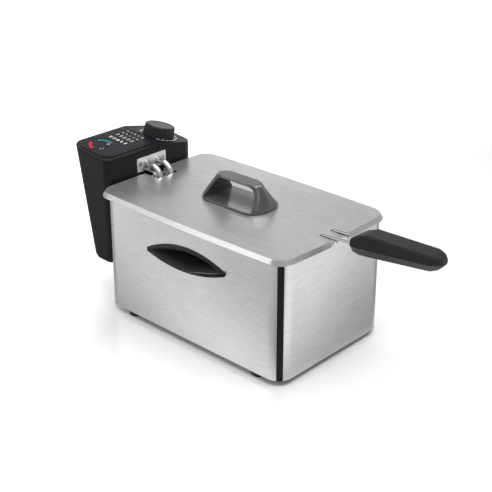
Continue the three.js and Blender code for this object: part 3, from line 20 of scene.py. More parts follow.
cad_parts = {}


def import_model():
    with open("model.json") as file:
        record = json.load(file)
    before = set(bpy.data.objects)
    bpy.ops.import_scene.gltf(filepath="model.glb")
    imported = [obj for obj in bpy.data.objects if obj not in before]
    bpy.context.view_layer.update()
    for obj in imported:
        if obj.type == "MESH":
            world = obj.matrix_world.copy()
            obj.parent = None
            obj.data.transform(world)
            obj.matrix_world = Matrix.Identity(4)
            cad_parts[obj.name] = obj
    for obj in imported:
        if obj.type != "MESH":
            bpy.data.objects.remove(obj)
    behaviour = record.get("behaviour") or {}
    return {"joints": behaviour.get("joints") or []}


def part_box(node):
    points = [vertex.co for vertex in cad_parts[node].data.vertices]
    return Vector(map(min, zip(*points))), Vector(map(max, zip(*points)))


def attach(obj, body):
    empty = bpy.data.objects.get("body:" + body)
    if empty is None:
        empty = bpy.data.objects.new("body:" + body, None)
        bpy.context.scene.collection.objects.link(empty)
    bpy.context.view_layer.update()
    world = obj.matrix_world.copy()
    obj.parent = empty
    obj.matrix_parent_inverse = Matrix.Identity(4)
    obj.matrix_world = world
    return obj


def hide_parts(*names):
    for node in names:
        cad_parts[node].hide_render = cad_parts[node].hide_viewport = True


LOG = logging.getLogger("fryer")
MM = 0.001
NEAR = 1e-6
WHITE = (1.0, 1.0, 1.0)
Pair = tuple[float, float]
Triple = tuple[float, float, float]
Number = Union[float, "Value"]
Colour = Union[Triple, bpy.types.NodeSocket]


# ---------------------------------------------------------------- shader graph


class Value:
    """A number in a node tree; each operator on it adds a Math node."""

    def __init__(self, graph: "Tree", socket: bpy.types.NodeSocket) -> None:
        """Wraps a socket of a node tree."""
        self.graph = graph
        self.socket = socket

    def _maths(self, operation: str, first: Number, second: Number) -> "Value":
        """One Math node on two numbers."""
        node = self.graph.node("ShaderNodeMath", {"operation": operation}, {0: first, 1: second})
        return Value(self.graph, node.outputs[0])

    def __add__(self, other: Number) -> "Value":
        """Self plus other."""
        return self._maths("ADD", self, other)

    __radd__ = __add__

    def __mul__(self, other: Number) -> "Value":
        """Self times other."""
        return self._maths("MULTIPLY", self, other)

    __rmul__ = __mul__

    def __sub__(self, other: Number) -> "Value":
        """Self minus other."""
        return self._maths("SUBTRACT", self, other)

    def __rsub__(self, other: Number) -> "Value":
        """Other minus self."""
        return self._maths("SUBTRACT", other, self)

    def size(self) -> "Value":
        """Self without its sign."""
        return self._maths("ABSOLUTE", self, 0.0)

    def above(self, level: float, softness: float) -> "Value":
        """0 below a level, 1 above it, with a soft step between."""
        node = self.graph.node(
            "ShaderNodeMapRange",
            {"interpolation_type": "SMOOTHSTEP"},
            {"Value": self, "From Min": level - softness, "From Max": level + softness},
        )
        return Value(self.graph, node.outputs["Result"])


class Tree:
    """A node tree, emptied and ready for new nodes."""

    def __init__(self, owner: bpy.types.Material | bpy.types.World) -> None:
        """Empties the tree of a material or of the world."""
        owner.use_nodes = True
        self.tree = owner.node_tree
        self.tree.nodes.clear()

    def node(self, kind: str, settings: dict[str, Any] | None = None,
             sockets: dict[Any, Any] | None = None) -> bpy.types.Node:
        """Adds a node.

        Args:
            kind: The node's type.
            settings: Its options, which are set before its sockets.
            sockets: Values, Values in a tree, or output sockets, by name or place.

        Returns:
            The new node.
        """
        node = self.tree.nodes.new(kind)
        for key, setting in (settings or {}).items():
            setattr(node, key, setting)
        self.feed(node, sockets or {})
        return node

    def feed(self, node: bpy.types.Node, sockets: dict[Any, Any]) -> None:
        """Sets or links the sockets of a node, by name or place."""
        for key, item in sockets.items():
            target = node.inputs[key]
            if isinstance(item, Value):
                item = item.socket
            if isinstance(item, bpy.types.NodeSocket):
                self.tree.links.new(item, target)
            elif target.type == "RGBA" and len(item) == 3:
                target.default_value = (*item, 1.0)
            else:
                target.default_value = item

    def choose(self, amount: Number, first: bpy.types.NodeSocket,
               second: bpy.types.NodeSocket) -> bpy.types.NodeSocket:
        """The first shader where the amount is 0, the second where it is 1."""
        return self.node("ShaderNodeMixShader", {}, {0: amount, 1: first, 2: second}).outputs[0]


class Graph(Tree):
    """The node tree of one finish, with the surface shader at its end."""

    def __init__(self, name: str) -> None:
        """Starts a material with a bare surface shader."""
        self.material = bpy.data.materials.new(name)
        super().__init__(self.material)
        self.surface = self.node("ShaderNodeBsdfPrincipled")
        self.bare = self.surface.outputs[0]
        self.output = self.node("ShaderNodeOutputMaterial", {}, {"Surface": self.bare})

    def where(self, scale: Triple = (1, 1, 1), offset: Triple = (0, 0, 0)) -> bpy.types.NodeSocket:
        """Object coordinates, stretched and then shifted."""
        source = self.node("ShaderNodeTexCoord").outputs["Object"]
        mapping = self.node(
            "ShaderNodeMapping", {}, {"Vector": source, "Scale": scale, "Location": offset})
        return mapping.outputs["Vector"]

    def noise(self, where: bpy.types.NodeSocket, scale: float, detail: float = 3.0,
              roughness: float = 0.5) -> Value:
        """Smooth noise about 0.5 wherever the coordinates point."""
        node = self.node("ShaderNodeTexNoise", {}, {
            "Vector": where, "Scale": scale, "Detail": detail, "Roughness": roughness})
        return Value(self, node.outputs["Fac"])

    def mix(self, amount: Number, first: Colour, second: Colour) -> bpy.types.NodeSocket:
        """A colour between two colours."""
        node = self.node("ShaderNodeMix", {"data_type": "RGBA"}, {0: amount, 6: first, 7: second})
        return node.outputs[2]

    def bump(self, height: Value, depth: float, strength: float) -> bpy.types.NodeSocket:
        """A normal pushed about by a height, of a depth in metres."""
        sockets = {"Height": height, "Distance": depth, "Strength": strength}
        return self.node("ShaderNodeBump", {}, sockets).outputs["Normal"]

    def emission(self, strength: Number) -> bpy.types.NodeSocket:
        """White light of its own, where 1 is white."""
        sockets = {"Color": WHITE, "Strength": strength}
        return self.node("ShaderNodeEmission", {}, sockets).outputs[0]


# -------------------------------------------------------------------- finishes


class Grain(Enum):
    """Which way a sheet is brushed, as the stretch of its streaks per metre."""

    LENGTHWISE = (50.0, 620.0, 620.0)
    LEVEL = (50.0, 50.0, 620.0)


class Finish:
    """A named material that is made once, when it is first used."""

    name: str

    def _paint(self, graph: Graph) -> None:
        """Fills in the graph of the finish."""
        raise NotImplementedError

    def material(self) -> bpy.types.Material:
        """The finish as a material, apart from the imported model's own."""
        name = f"finish_{self.name}"
        found = bpy.data.materials.get(name)
        if found:
            return found
        graph = Graph(name)
        self._paint(graph)
        return graph.material


@dataclass(frozen=True)
class BrushedSteel(Finish):
    """Steel sheet with long fine brush marks and a faint mottle from handling.

    Here and below a noise is a scale, a detail and a roughness, a border is a level and how
    soft it is, and a swing is how much a noise moves the roughness.
    """

    name: str
    light: Triple
    dark: Triple
    grain: Grain = Grain.LEVEL
    roughness: float = 0.3
    depth: float = 0.00002
    patch: Triple = (2.0, -2.3, 1.3)
    metal: float = 1.0
    fine: Triple = (2.6, 4.0, 0.7)
    broad: Triple = (0.9, 2.0, 0.6)
    mottle: Triple = (5.0, 2.0, 0.5)
    streak_border: Pair = (0.5, 0.22)
    mottle_border: Pair = (0.5, 0.2)
    streak_shares: Pair = (0.55, 0.45)
    tone_shares: Pair = (0.6, 0.4)
    swings: Pair = (0.16, 0.05)
    swing_middle: float = 0.1
    relief: float = 0.6

    def _paint(self, graph: Graph) -> None:
        """Long streaks at two widths over a slow mottle."""
        along = graph.where(self.grain.value)
        mottle = graph.noise(graph.where(offset=self.patch), *self.mottle)
        fine, broad = self.streak_shares
        streak = graph.noise(along, *self.fine) * fine + graph.noise(along, *self.broad) * broad
        lines, clouds = self.tone_shares
        tone = streak.above(*self.streak_border) * lines
        tone = tone + mottle.above(*self.mottle_border) * clouds
        swing = streak * self.swings[0] + mottle * self.swings[1]
        graph.feed(graph.surface, {
            "Base Color": graph.mix(tone, self.dark, self.light),
            "Metallic": self.metal,
            "Roughness": swing + (self.roughness - self.swing_middle),
            "Normal": graph.bump(streak, self.depth, self.relief),
        })


@dataclass(frozen=True)
class BrightMetal(Finish):
    """Polished or plated metal with a faint haze and fine draw marks."""

    name: str
    tone: Triple = (0.8, 0.8, 0.79)
    roughness: float = 0.13
    haze: float = 0.1
    metal: float = 1.0
    cloud: Triple = (55.0, 4.0, 0.6)
    cloud_border: Pair = (0.52, 0.2)
    dullness: float = 0.9
    marks: Triple = (1.0, 2.0, 0.6)
    mark_stretch: Triple = (260.0, 260.0, 1400.0)
    mark_depth: float = 0.000008
    mark_swing: float = 0.06
    relief: float = 0.5

    def _paint(self, graph: Graph) -> None:
        """A bright tone clouded by slow noise, with fine wear marks."""
        cloud = graph.noise(graph.where(), *self.cloud)
        marks = graph.noise(graph.where(self.mark_stretch), *self.marks)
        dull = tuple(part * self.dullness for part in self.tone)
        haze = cloud * self.haze + marks * self.mark_swing
        graph.feed(graph.surface, {
            "Base Color": graph.mix(cloud.above(*self.cloud_border), dull, self.tone),
            "Metallic": self.metal,
            "Roughness": haze + (self.roughness - self.haze / 2),
            "Normal": graph.bump(marks, self.mark_depth, self.relief),
        })


@dataclass(frozen=True)
class Moulding(Finish):
    """Moulded plastic with a fine sparked texture."""

    name: str
    tone: Triple
    shine: Triple
    roughness: float = 0.42
    scale: float = 1800.0
    depth: float = 0.00003
    specular: float = 0.5
    coat: float = 0.0
    coat_roughness: float = 0.12
    texture: Pair = (2.0, 0.6)
    drift: Triple = (22.0, 3.0, 0.55)
    drift_border: Pair = (0.5, 0.22)
    swings: Pair = (0.1, 0.06)
    swing_middle: float = 0.08
    relief: float = 0.5

    def _tone(self, graph: Graph, drift: Value) -> bpy.types.NodeSocket:
        """The colour, which wanders slowly between two tones."""
        return graph.mix(drift.above(*self.drift_border), self.tone, self.shine)

    def _paint(self, graph: Graph) -> None:
        """Fine grain in the normal and a slow change of tone and gloss."""
        grain = graph.noise(graph.where(), self.scale, *self.texture)
        drift = graph.noise(graph.where(), *self.drift)
        swing = drift * self.swings[0] + grain * self.swings[1]
        graph.feed(graph.surface, {
            "Base Color": self._tone(graph, drift),
            "Roughness": swing + (self.roughness - self.swing_middle),
            "Specular IOR Level": self.specular,
            "Coat Weight": self.coat,
            "Coat Roughness": self.coat_roughness,
            "Normal": graph.bump(grain, self.depth, self.relief),
        })


@dataclass(frozen=True)
class PaintedShadeMoulding(Moulding):
    """Moulded plastic with painted shade: near black deep in a hollow and lighter at its rim.

    The mesh's shading layer is 0 for the painted dark, 1 at the rim and 2 for a painted
    highlight along the crest.
    """

    crest_highlight: Triple = (0.26, 0.26, 0.262)
    spread: float = 0.2

    def _tone(self, graph: Graph, drift: Value) -> bpy.types.NodeSocket:
        """A tone for each point from its painted shading: painted shade, rim or painted highlight.
        """
        source = graph.node("ShaderNodeAttribute", {"attribute_name": "painted_shading"})
        painted_shading = Value(graph, source.outputs["Fac"])
        rim = graph.mix(painted_shading + (drift - 0.5) * self.spread, self.tone, self.shine)
        return graph.mix(painted_shading - 1.0, rim, self.crest_highlight)


@dataclass(frozen=True)
class GlossCoat(Finish):
    """A smooth glossy piece, such as a printed film, an enamel or a lamp lens."""

    name: str
    tone: Triple
    edge: Triple
    roughness: float
    glow: float = 0.0
    specular: float = 0.5
    ripple: Triple = (40.0, 2.0, 0.5)
    ripple_border: Pair = (0.5, 0.25)
    ripple_depth: float = 0.00006
    dust: Triple = (900.0, 2.0, 0.5)
    dust_border: Pair = (0.72, 0.05)
    swings: Pair = (0.06, 0.2)
    swing_middle: float = 0.03
    relief: float = 0.4

    def _paint(self, graph: Graph) -> None:
        """A clean gloss with a slow ripple and a few dust specks."""
        ripple = graph.noise(graph.where(), *self.ripple)
        dust = graph.noise(graph.where(), *self.dust).above(*self.dust_border)
        swing = ripple * self.swings[0] + dust * self.swings[1]
        graph.feed(graph.surface, {
            "Base Color": graph.mix(ripple.above(*self.ripple_border), self.edge, self.tone),
            "Roughness": swing + (self.roughness - self.swing_middle),
            "Specular IOR Level": self.specular,
            "Normal": graph.bump(ripple, self.ripple_depth, self.relief),
            "Emission Color": graph.mix(ripple, self.edge, self.tone) if self.glow else WHITE,
            "Emission Strength": self.glow,
        })


STEEL_SIDES = BrushedSteel("steel_sides", (0.94, 0.94, 0.935), (0.63, 0.63, 0.627))
STEEL_LID = BrushedSteel(
    "steel_lid", (0.84, 0.84, 0.835), (0.52, 0.52, 0.517), Grain.LENGTHWISE, metal=0.84)
STEEL_PLAIN = BrushedSteel(
    "steel_plain", (0.52, 0.52, 0.515), (0.4, 0.4, 0.397), Grain.LENGTHWISE, 0.4)
STEEL_BRIGHT = BrightMetal("steel_bright")
STEEL_POT = BrightMetal("steel_pot", (0.74, 0.74, 0.735), 0.24, 0.04)
STEEL_TUBE = BrightMetal("steel_tube", (0.78, 0.78, 0.775), 0.27, 0.04)
STEEL_SATIN = BrightMetal("steel_satin", (0.97, 0.97, 0.965), 0.36, 0.08, 0.55)
STEEL_ROD = BrightMetal("steel_rod", (0.56, 0.56, 0.557), 0.07, 0.03)
WIRE_BRIGHT = BrightMetal("wire_bright", (0.82, 0.82, 0.81), 0.18)
ZINC = BrightMetal("zinc_screws", (0.66, 0.67, 0.68), 0.3, 0.16)
BRASS = BrightMetal("brass_turned", (0.72, 0.53, 0.26), 0.25)
BLACK = Moulding(
    "black_plastic", (0.007, 0.007, 0.0074), (0.0105, 0.0105, 0.011), 0.42, specular=0.24)
KNOB_BLACK = Moulding(
    "knob_plastic", (0.016, 0.016, 0.0165), (0.022, 0.022, 0.0225), 0.34, specular=0.3)
# Painted shade: near black deep in the recess and lighter towards its rim, with a painted highlight
# on the lip's crest.
RECESS = PaintedShadeMoulding(
    "recess_plastic", (0.001, 0.001, 0.001), (0.05, 0.05, 0.051), 0.45, specular=0.05)
GRIP = Moulding(
    "grip_plastic", (0.022, 0.022, 0.0225), (0.03, 0.03, 0.0306), 0.44, 1500.0, 0.00002, 0.1)
GRIP_UNDER = Moulding(
    "grip_underside", (0.02, 0.02, 0.0204), (0.028, 0.028, 0.0285), 0.3, 1500.0, 0.00002, 0.4, 0.12)
GREY = Moulding(
    "grey_plastic", (0.052, 0.052, 0.053), (0.072, 0.072, 0.073), 0.22, 2400.0, 0.00001, 0.8,
    0.35, 0.2)
FILM = GlossCoat("label_film", (0.018, 0.017, 0.022), (0.012, 0.0115, 0.015), 0.26, specular=0.2)
RUBBER = Moulding(
    "rubber_black", (0.008, 0.008, 0.008), (0.013, 0.013, 0.013), 0.3, 900.0, specular=0.8)
RED = GlossCoat("red_lens", (0.52, 0.03, 0.065), (0.4, 0.015, 0.04), 0.15, 0.05)
TEAL = GlossCoat("teal_lens", (0.022, 0.27, 0.31), (0.012, 0.2, 0.24), 0.15, 0.05)
CERAMIC = Moulding("ceramic_white", (0.68, 0.65, 0.57), (0.76, 0.73, 0.66), 0.6, 1200.0)
INK_BLACK = Moulding(
    "black_ink", (0.001, 0.001, 0.001), (0.002, 0.002, 0.002), 0.4, 1500.0, 0.00001, 0.2)
INK = Moulding("white_ink", (0.72, 0.72, 0.72), (0.8, 0.8, 0.8), 0.5, 1500.0, 0.00001)


# ------------------------------------------------------------------- modelling


def hang(name: str, data: bpy.types.ID) -> bpy.types.Object:
    """A new object in the scene, with its data."""
    item = bpy.data.objects.new(name, data)
    bpy.context.scene.collection.objects.link(item)
    return item


def finished_mesh(item: bpy.types.Object) -> bpy.types.Mesh:
    """A new mesh of an object, with its modifiers or its curve worked out."""
    graph = bpy.context.evaluated_depsgraph_get()
    return bpy.data.meshes.new_from_object(item.evaluated_get(graph))


def new_verts(made: Iterable[Any]) -> list[bmesh.types.BMVert]:
    """The vertices among the things that an operator made."""
    return [item for item in made if isinstance(item, bmesh.types.BMVert)]


def highest(bm: bmesh.types.BMesh, axis: int = 2) -> bmesh.types.BMFace:
    """The face whose middle is furthest along an axis, which is Z if none is given."""
    return max(bm.faces, key=lambda face: face.calc_center_median()[axis])


def ramp(value: float, span: Pair) -> float:
    """A soft rise from 0 to 1 over a span, given as its start and its length."""
    share = min(max((value - span[0]) / span[1], 0.0), 1.0)
    return share * share * (3 - 2 * share)


class Shape:
    """A mesh in the making, in metres in the frame of the whole fryer."""

    node_merge = 0.003 * MM
    cut_merge = 0.005 * MM
    seam_merge = 0.002 * MM
    flatness = math.radians(0.5)

    def __init__(self) -> None:
        """Starts an empty mesh."""
        self.bm = bmesh.new()

    @classmethod
    def of_node(cls, node: str) -> "Shape":
        """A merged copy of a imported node, with its flat faces made whole."""
        shape = cls()
        shape.bm.from_mesh(bpy.data.objects[node].data)
        shape.merge(cls.node_merge)
        bmesh.ops.dissolve_limit(
            shape.bm, angle_limit=cls.flatness, verts=shape.bm.verts, edges=shape.bm.edges)
        return shape

    @classmethod
    def of_curve(cls, curve: bpy.types.Curve) -> "Shape":
        """The mesh of a curve or a text, which is then discarded."""
        carrier = hang("carrier", curve)
        shape = cls().take(finished_mesh(carrier))
        bpy.data.objects.remove(carrier)
        bpy.data.curves.remove(curve)
        return shape

    @classmethod
    def disc(cls, radius: float, sides: int) -> "Shape":
        """A flat disc about the origin."""
        shape = cls()
        bmesh.ops.create_circle(shape.bm, cap_ends=True, segments=sides, radius=radius)
        return shape

    @classmethod
    def plate(cls, length: float, width: float, corner: float, steps: int = 6) -> "Shape":
        """A flat plate about the origin with round corners."""
        shape = cls()
        bmesh.ops.create_grid(shape.bm, x_segments=1, y_segments=1, size=0.5)
        shape.stretch(length, width)
        if corner > 0:
            shape.round_corners(list(shape.bm.verts), corner, steps)
        return shape

    def round_corners(self, corners: list[bmesh.types.BMVert], radius: float, steps: int) -> None:
        """Rounds corners of a flat plate."""
        bmesh.ops.bevel(
            self.bm, geom=corners, offset=radius, offset_type="OFFSET", affect="VERTICES",
            segments=steps, profile=0.5, material=-1, clamp_overlap=True)

    def raise_top(self, height: float, scale: float = 1.0, side: float | None = None) -> None:
        """Extrudes the highest face upwards, and draws the new face in or out.

        Args:
            height: How far it rises.
            scale: How much wider the new face is, along X.
            side: The same along Y, where it differs.
        """
        alone = len(self.bm.faces) == 1
        top = highest(self.bm)
        verts = self.extrude(top, Vector((0, 0, height)))
        centre = Matrix.Translation(-top.calc_center_median())
        across = scale if side is None else side
        bmesh.ops.scale(self.bm, vec=(scale, across, 1), verts=verts, space=centre)
        if top.is_valid and not alone:
            self.drop([top])

    def bevel(self, edges: list[bmesh.types.BMEdge], width: float, steps: int,
              clamp: bool = True) -> None:
        """Rounds the given edges."""
        bmesh.ops.bevel(
            self.bm, geom=edges, offset=width, offset_type="OFFSET", affect="EDGES",
            segments=steps, profile=0.5, material=-1, clamp_overlap=clamp)

    def soften(self, width: float, steps: int = 2, degrees: float = 32.0) -> "Shape":
        """Takes the sharpness off every edge whose faces meet at more than an angle."""
        limit = math.radians(degrees)
        hard = [
            edge for edge in self.bm.edges
            if len(edge.link_faces) == 2 and edge.calc_face_angle(0) > limit]
        self.bevel(hard, width, steps)
        return self

    def cut_away(self, cutter: "Shape") -> "Shape":
        """Takes another closed shape out of this one."""
        carriers = [hang("carrier", shape.mesh("carrier")) for shape in (self, cutter)]
        hole = carriers[0].modifiers.new("hole", "BOOLEAN")
        hole.operation, hole.solver, hole.object = "DIFFERENCE", "EXACT", carriers[1]
        self.bm.clear()
        self.take(finished_mesh(carriers[0]))
        cutter.bm.free()
        for carrier in carriers:
            mesh = carrier.data
            bpy.data.objects.remove(carrier)
            bpy.data.meshes.remove(mesh)
        self.merge(self.cut_merge)
        return self

    def extrude(self, face: bmesh.types.BMFace, way: Vector) -> list[bmesh.types.BMVert]:
        """Extrudes a face along a vector, and returns the new face's vertices."""
        verts = new_verts(bmesh.ops.extrude_face_region(self.bm, geom=[face])["geom"])
        bmesh.ops.translate(self.bm, vec=way, verts=verts)
        return verts

    def drop(self, faces: list[bmesh.types.BMFace]) -> None:
        """Removes faces, but not what bounds them."""
        bmesh.ops.delete(self.bm, geom=faces, context="FACES_ONLY")

    def merge(self, distance: float) -> None:
        """Merges the vertices that lie closer than a distance."""
        bmesh.ops.remove_doubles(self.bm, verts=self.bm.verts, dist=distance)

    def stretch(self, x: float, y: float) -> None:
        """Scales the whole mesh about the origin, along X and along Y."""
        bmesh.ops.scale(self.bm, vec=(x, y, 1), verts=self.bm.verts)

    def face_out(self) -> None:
        """Turns every face outwards."""
        bmesh.ops.recalc_face_normals(self.bm, faces=self.bm.faces)

    def move(self, matrix: Matrix) -> "Shape":
        """Moves the whole mesh."""
        bmesh.ops.transform(self.bm, matrix=matrix, verts=self.bm.verts)
        return self

    def mesh(self, name: str) -> bpy.types.Mesh:
        """A mesh of the shape as it stands."""
        mesh = bpy.data.meshes.new(name)
        self.bm.to_mesh(mesh)
        return mesh

    def take(self, mesh: bpy.types.Mesh) -> "Shape":
        """Takes in a mesh, which is then discarded."""
        self.bm.from_mesh(mesh)
        bpy.data.meshes.remove(mesh)
        return self

    def add(self, other: "Shape") -> "Shape":
        """Takes in a copy of another shape."""
        return self.take(other.mesh("spare"))

    def outward(self) -> "Shape":
        """Merges the seams and turns every face outwards."""
        self.merge(self.seam_merge)
        self.face_out()
        return self

    def place(self, name: str, finish: Finish, body: str, slot: str,
              nodes: Sequence[str] = (), smooth: float = 38.0) -> None:
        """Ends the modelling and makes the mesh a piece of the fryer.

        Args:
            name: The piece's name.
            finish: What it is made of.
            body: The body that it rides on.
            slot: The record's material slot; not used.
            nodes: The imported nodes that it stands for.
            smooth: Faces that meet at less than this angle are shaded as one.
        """
        limit = math.radians(smooth)
        for face in self.bm.faces:
            face.smooth = True
        for edge in self.bm.edges:
            edge.smooth = len(edge.link_faces) == 2 and edge.calc_face_angle(0) < limit
        piece = hang(name, self.mesh(name))
        self.bm.free()
        piece.data.materials.append(finish.material())
        piece.modifiers.new("even_shading", "WEIGHTED_NORMAL").keep_sharp = True
        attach(piece, body)
        if nodes:
            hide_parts(*nodes)
        LOG.info("piece %s on %s", name, body)


@dataclass
class Rod:
    """A round wire or tube of straight runs and rounded bends."""

    corners: list[Vector]
    radius: float
    bend: float
    fineness: int = 5

    def _knots(self) -> list[tuple[Vector, Vector, Vector]]:
        """Each curve point with its two handles."""
        knots = []
        last = len(self.corners) - 1
        for index, corner in enumerate(self.corners):
            if index in (0, last):
                knots.append((corner, corner, corner))
                continue
            before = (self.corners[index - 1] - corner).normalized()
            after = (self.corners[index + 1] - corner).normalized()
            turn = math.pi - before.angle(after)
            reach = self.bend * math.tan(turn / 2)
            pull = 1 - 4 / 3 * math.tan(turn / 4) * self.bend / max(reach, NEAR)
            start, end = corner + before * reach, corner + after * reach
            knots.append((start, start, corner + before * reach * pull))
            knots.append((end, corner + after * reach * pull, end))
        return knots

    def shape(self) -> Shape:
        """The tube with closed ends."""
        curve = bpy.data.curves.new("rod", "CURVE")
        curve.dimensions = "3D"
        curve.bevel_depth = self.radius
        curve.bevel_resolution = self.fineness
        curve.resolution_u = 10
        curve.use_fill_caps = True
        points = curve.splines.new("BEZIER").bezier_points
        knots = self._knots()
        points.add(len(knots) - 1)
        for point, (middle, left, right) in zip(points, knots):
            point.handle_left_type = point.handle_right_type = "FREE"
            point.co, point.handle_left, point.handle_right = middle, left, right
        for first, second in zip(points, points[1:]):
            if (first.handle_right - first.co).length < NEAR:
                first.handle_right = first.co.lerp(second.co, 1 / 3)
            if (second.handle_left - second.co).length < NEAR:
                second.handle_left = second.co.lerp(first.co, 1 / 3)
        return Shape.of_curve(curve).outward()


def tilted_frame(origin: Vector, normal: Vector) -> Matrix:
    """A frame on a sloping panel: its X runs along +Y, its Y to the rear, its Z out."""
    up = normal.normalized()
    across = Vector((0, 1, 0))
    across = (across - up * across.dot(up)).normalized()
    rear = up.cross(across)
    turn = Matrix((across, rear, up)).transposed().to_4x4()
    return Matrix.Translation(origin) @ turn


def retouch(node: str, name: str, finish: Finish, body: str, slot: str, edge: float,
            steps: int = 2) -> None:
    """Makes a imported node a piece, with its edges softened by so many millimetres."""
    Shape.of_node(node).soften(edge * MM, steps).place(name, finish, body, slot, [node])


def dress(finish: Finish, *nodes: str) -> None:
    """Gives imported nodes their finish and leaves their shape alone."""
    for node in nodes:
        item = bpy.data.objects[node]
        item.data.materials.clear()
        item.data.materials.append(finish.material())
        LOG.info("node %s in %s", node, finish.name)


# --------------------------------------------------------------- sub-assemblies


@dataclass
class SideGrip:
    """A moulded finger recess: a lens-shaped bowl with a lip along its lower edge.

    A pair is where something starts along the recess and over how much of it, from -1 at
    the rear tip to 1 at the front tip.
    """

    side: str
    half_chord: float = 65.0 * MM
    crown: float = 18.0 * MM
    keel: float = 14.0 * MM
    tip: float = 2.4 * MM
    tilt: float = 3.8
    proud: float = 1.3 * MM
    depth: float = 10.5 * MM
    wall: float = 0.3 * MM
    lip: float = 3.2 * MM
    lip_height: float = 6.0 * MM
    least_lip: float = 0.3 * MM
    most_lip: float = 0.9
    lip_rise: Pair = (-0.2, 0.75)
    lip_reach: Pair = (-0.25, 0.7)
    front_end: Pair = (0.85, 0.15)
    end_drop: float = 0.35
    border: float = 2.0 * MM
    slope: float = 13.0 * MM
    settling: float = 1.5
    # The fields from here to bowl_fade set the painted shading: painted shade on the lip and in the
    # bowl, and a painted highlight along the crest.
    crest: float = 0.95
    seam: float = 0.1
    lip_shading: float = 0.9
    seam_fade: float = 0.4
    lip_fade: float = 0.75
    bowl_shade_span: Pair = (-0.4, 1.2)
    bowl_fade: float = 0.35
    columns: int = 64
    band_rows: int = 5
    bowl_rows: int = 22

    def build(self) -> None:
        """Builds the recess and stands it in the housing's wall."""
        node = f"side_grip_{self.side}"
        low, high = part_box(node)
        wall_low, wall_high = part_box("housing_shell")
        shape = Shape()
        bmesh.ops.create_grid(
            shape.bm, x_segments=self.columns, y_segments=self.band_rows + self.bowl_rows, size=0.5)
        # This mesh layer holds painted shading: 0 for painted shade deep in the bowl, 1 at the rim,
        # 2 for a painted highlight on the lip's crest.
        layer = shape.bm.verts.layers.float.new("painted_shading")
        for vert in shape.bm.verts:
            vert.co, vert[layer] = self._place(2 * vert.co.x, vert.co.y + 0.5)
        rim = [edge for edge in shape.bm.edges if len(edge.link_faces) == 1]
        for vert in new_verts(bmesh.ops.extrude_edge_only(shape.bm, edges=rim)["geom"]):
            vert.co.y = 0
        shape.face_out()
        bmesh.ops.solidify(shape.bm, geom=list(shape.bm.faces), thickness=self.wall)
        face = wall_low.y
        if self.side == "right":
            face = wall_high.y
            shape.stretch(1, -1)
        centre = (low + high) / 2
        lift = (self.crown - self.keel) / 2
        turn = Matrix.Rotation(math.radians(-self.tilt), 4, "Y")
        shape.outward().move(Matrix.Translation((centre.x, face, centre.z - lift)) @ turn)
        shape.place(
            f"finger_recess_{self.side}", RECESS, "housing", "black_plastic", [node], smooth=50)

    def _place(self, along: float, across: float) -> tuple[Vector, float]:
        """Where a point of the recess lies, about its own middle, and its painted shading.

        Args:
            along: -1 at the rear tip and 1 at the front tip.
            across: 0 at the lower edge and 1 at the upper edge.

        Returns:
            The point, with Y into the housing and 0 on its wall, and its painted shading: 0 for
            painted shade, 1 at the rim, 2 for the painted highlight on the crest.
        """
        bow = 1 - along * along
        bottom = -(self.tip * (1 - bow) + self.keel * bow)
        top = self.tip * (1 - bow) + self.crown * bow
        rise = ramp(along, self.lip_rise)
        end = ramp(along, self.front_end)
        band = min(self.least_lip + self.lip_height * rise, self.most_lip * (top - bottom))
        reach = self.proud + self.lip * ramp(along, self.lip_reach) * (1 - self.end_drop * end)
        share = self.band_rows / (self.band_rows + self.bowl_rows)
        if across <= share + NEAR:
            step = across / share
            lift = self.proud + (reach - self.proud) * math.sin(step * math.pi / 2)
            # Painted shade darkens the lip band where the lip rises; above the crest step it gets a
            # painted highlight.
            painted_shading = self.lip_shading - rise * (self.lip_fade if step > self.seam else self.seam_fade)
            if step > self.crest:
                painted_shading = 1 + rise * (1 - end)
            return Vector((along * self.half_chord, -lift, bottom + band * step)), painted_shading
        step = (across - share) / (1 - share)
        start = bottom + band
        z = start + (top - start) * step
        ends = (1 - abs(along)) * self.half_chord
        inset = min(top - z, z - start + min(band, self.border), ends)
        sink = ramp(inset, (self.border, self.slope))
        edge = reach + (self.proud - reach) * min(1.0, step * self.settling)
        # Painted shade: the bowl darkens as it sinks and towards its front tip.
        painted_shading = (1 - sink) * (1 - self.bowl_fade * ramp(along, self.bowl_shade_span))
        return Vector((along * self.half_chord, sink * self.depth - edge * (1 - sink), z)), painted_shading


@dataclass
class Housing:
    """The steel housing, its painted-reflection corner strips, side grips, feet, base and rail."""

    foot_edge: float = 1.6 * MM
    foot_sides: int = 48
    feet: tuple[str, ...] = ("front_left", "front_right", "rear_left", "rear_right")

    def build(self) -> None:
        """Builds every piece that stays on the worktop."""
        retouch(
            "housing_shell", "housing_wrap", STEEL_SIDES, "housing", "brushed_steel", edge=0.35)
        # Black strips at the two +X corners are a painted reflection: they stand for the dark band
        # that the steel corners reflect.
        for side in ("left", "right"):
            retouch(
                f"corner_trim_{side}", f"dark_reflection_strip_{side}", BLACK, "housing", "black_plastic",
                edge=0.15)
            SideGrip(side).build()
        for foot in self.feet:
            self._foot(foot)
        dress(STEEL_PLAIN, "base_plate", "control_rail")
        dress(ZINC, *(f"{use}_screw_{n}" for use in ("foot", "rail") for n in range(1, 5)))

    def _foot(self, name: str) -> None:
        """A round rubber foot with a soft lower edge."""
        low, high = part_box(f"foot_{name}")
        shape = Shape.disc((high.x - low.x) / 2, self.foot_sides)
        shape.raise_top(high.z - low.z)
        rims = [e for e in shape.bm.edges if abs(e.verts[0].co.z - e.verts[1].co.z) < NEAR]
        shape.outward().bevel(rims, self.foot_edge, steps=4)
        centre = (low + high) / 2
        shape.move(Matrix.Translation((centre.x, centre.y, low.z)))
        shape.place(f"foot_pad_{name}", RUBBER, "housing", "rubber_black", [f"foot_{name}"])


class OilPot:
    """The pot that lifts out of the housing."""

    def build(self) -> None:
        """Builds the pot with soft edges."""
        retouch("oil_pot", "pot_pressing", STEEL_POT, "oil_pot", "polished_steel", edge=0.3)


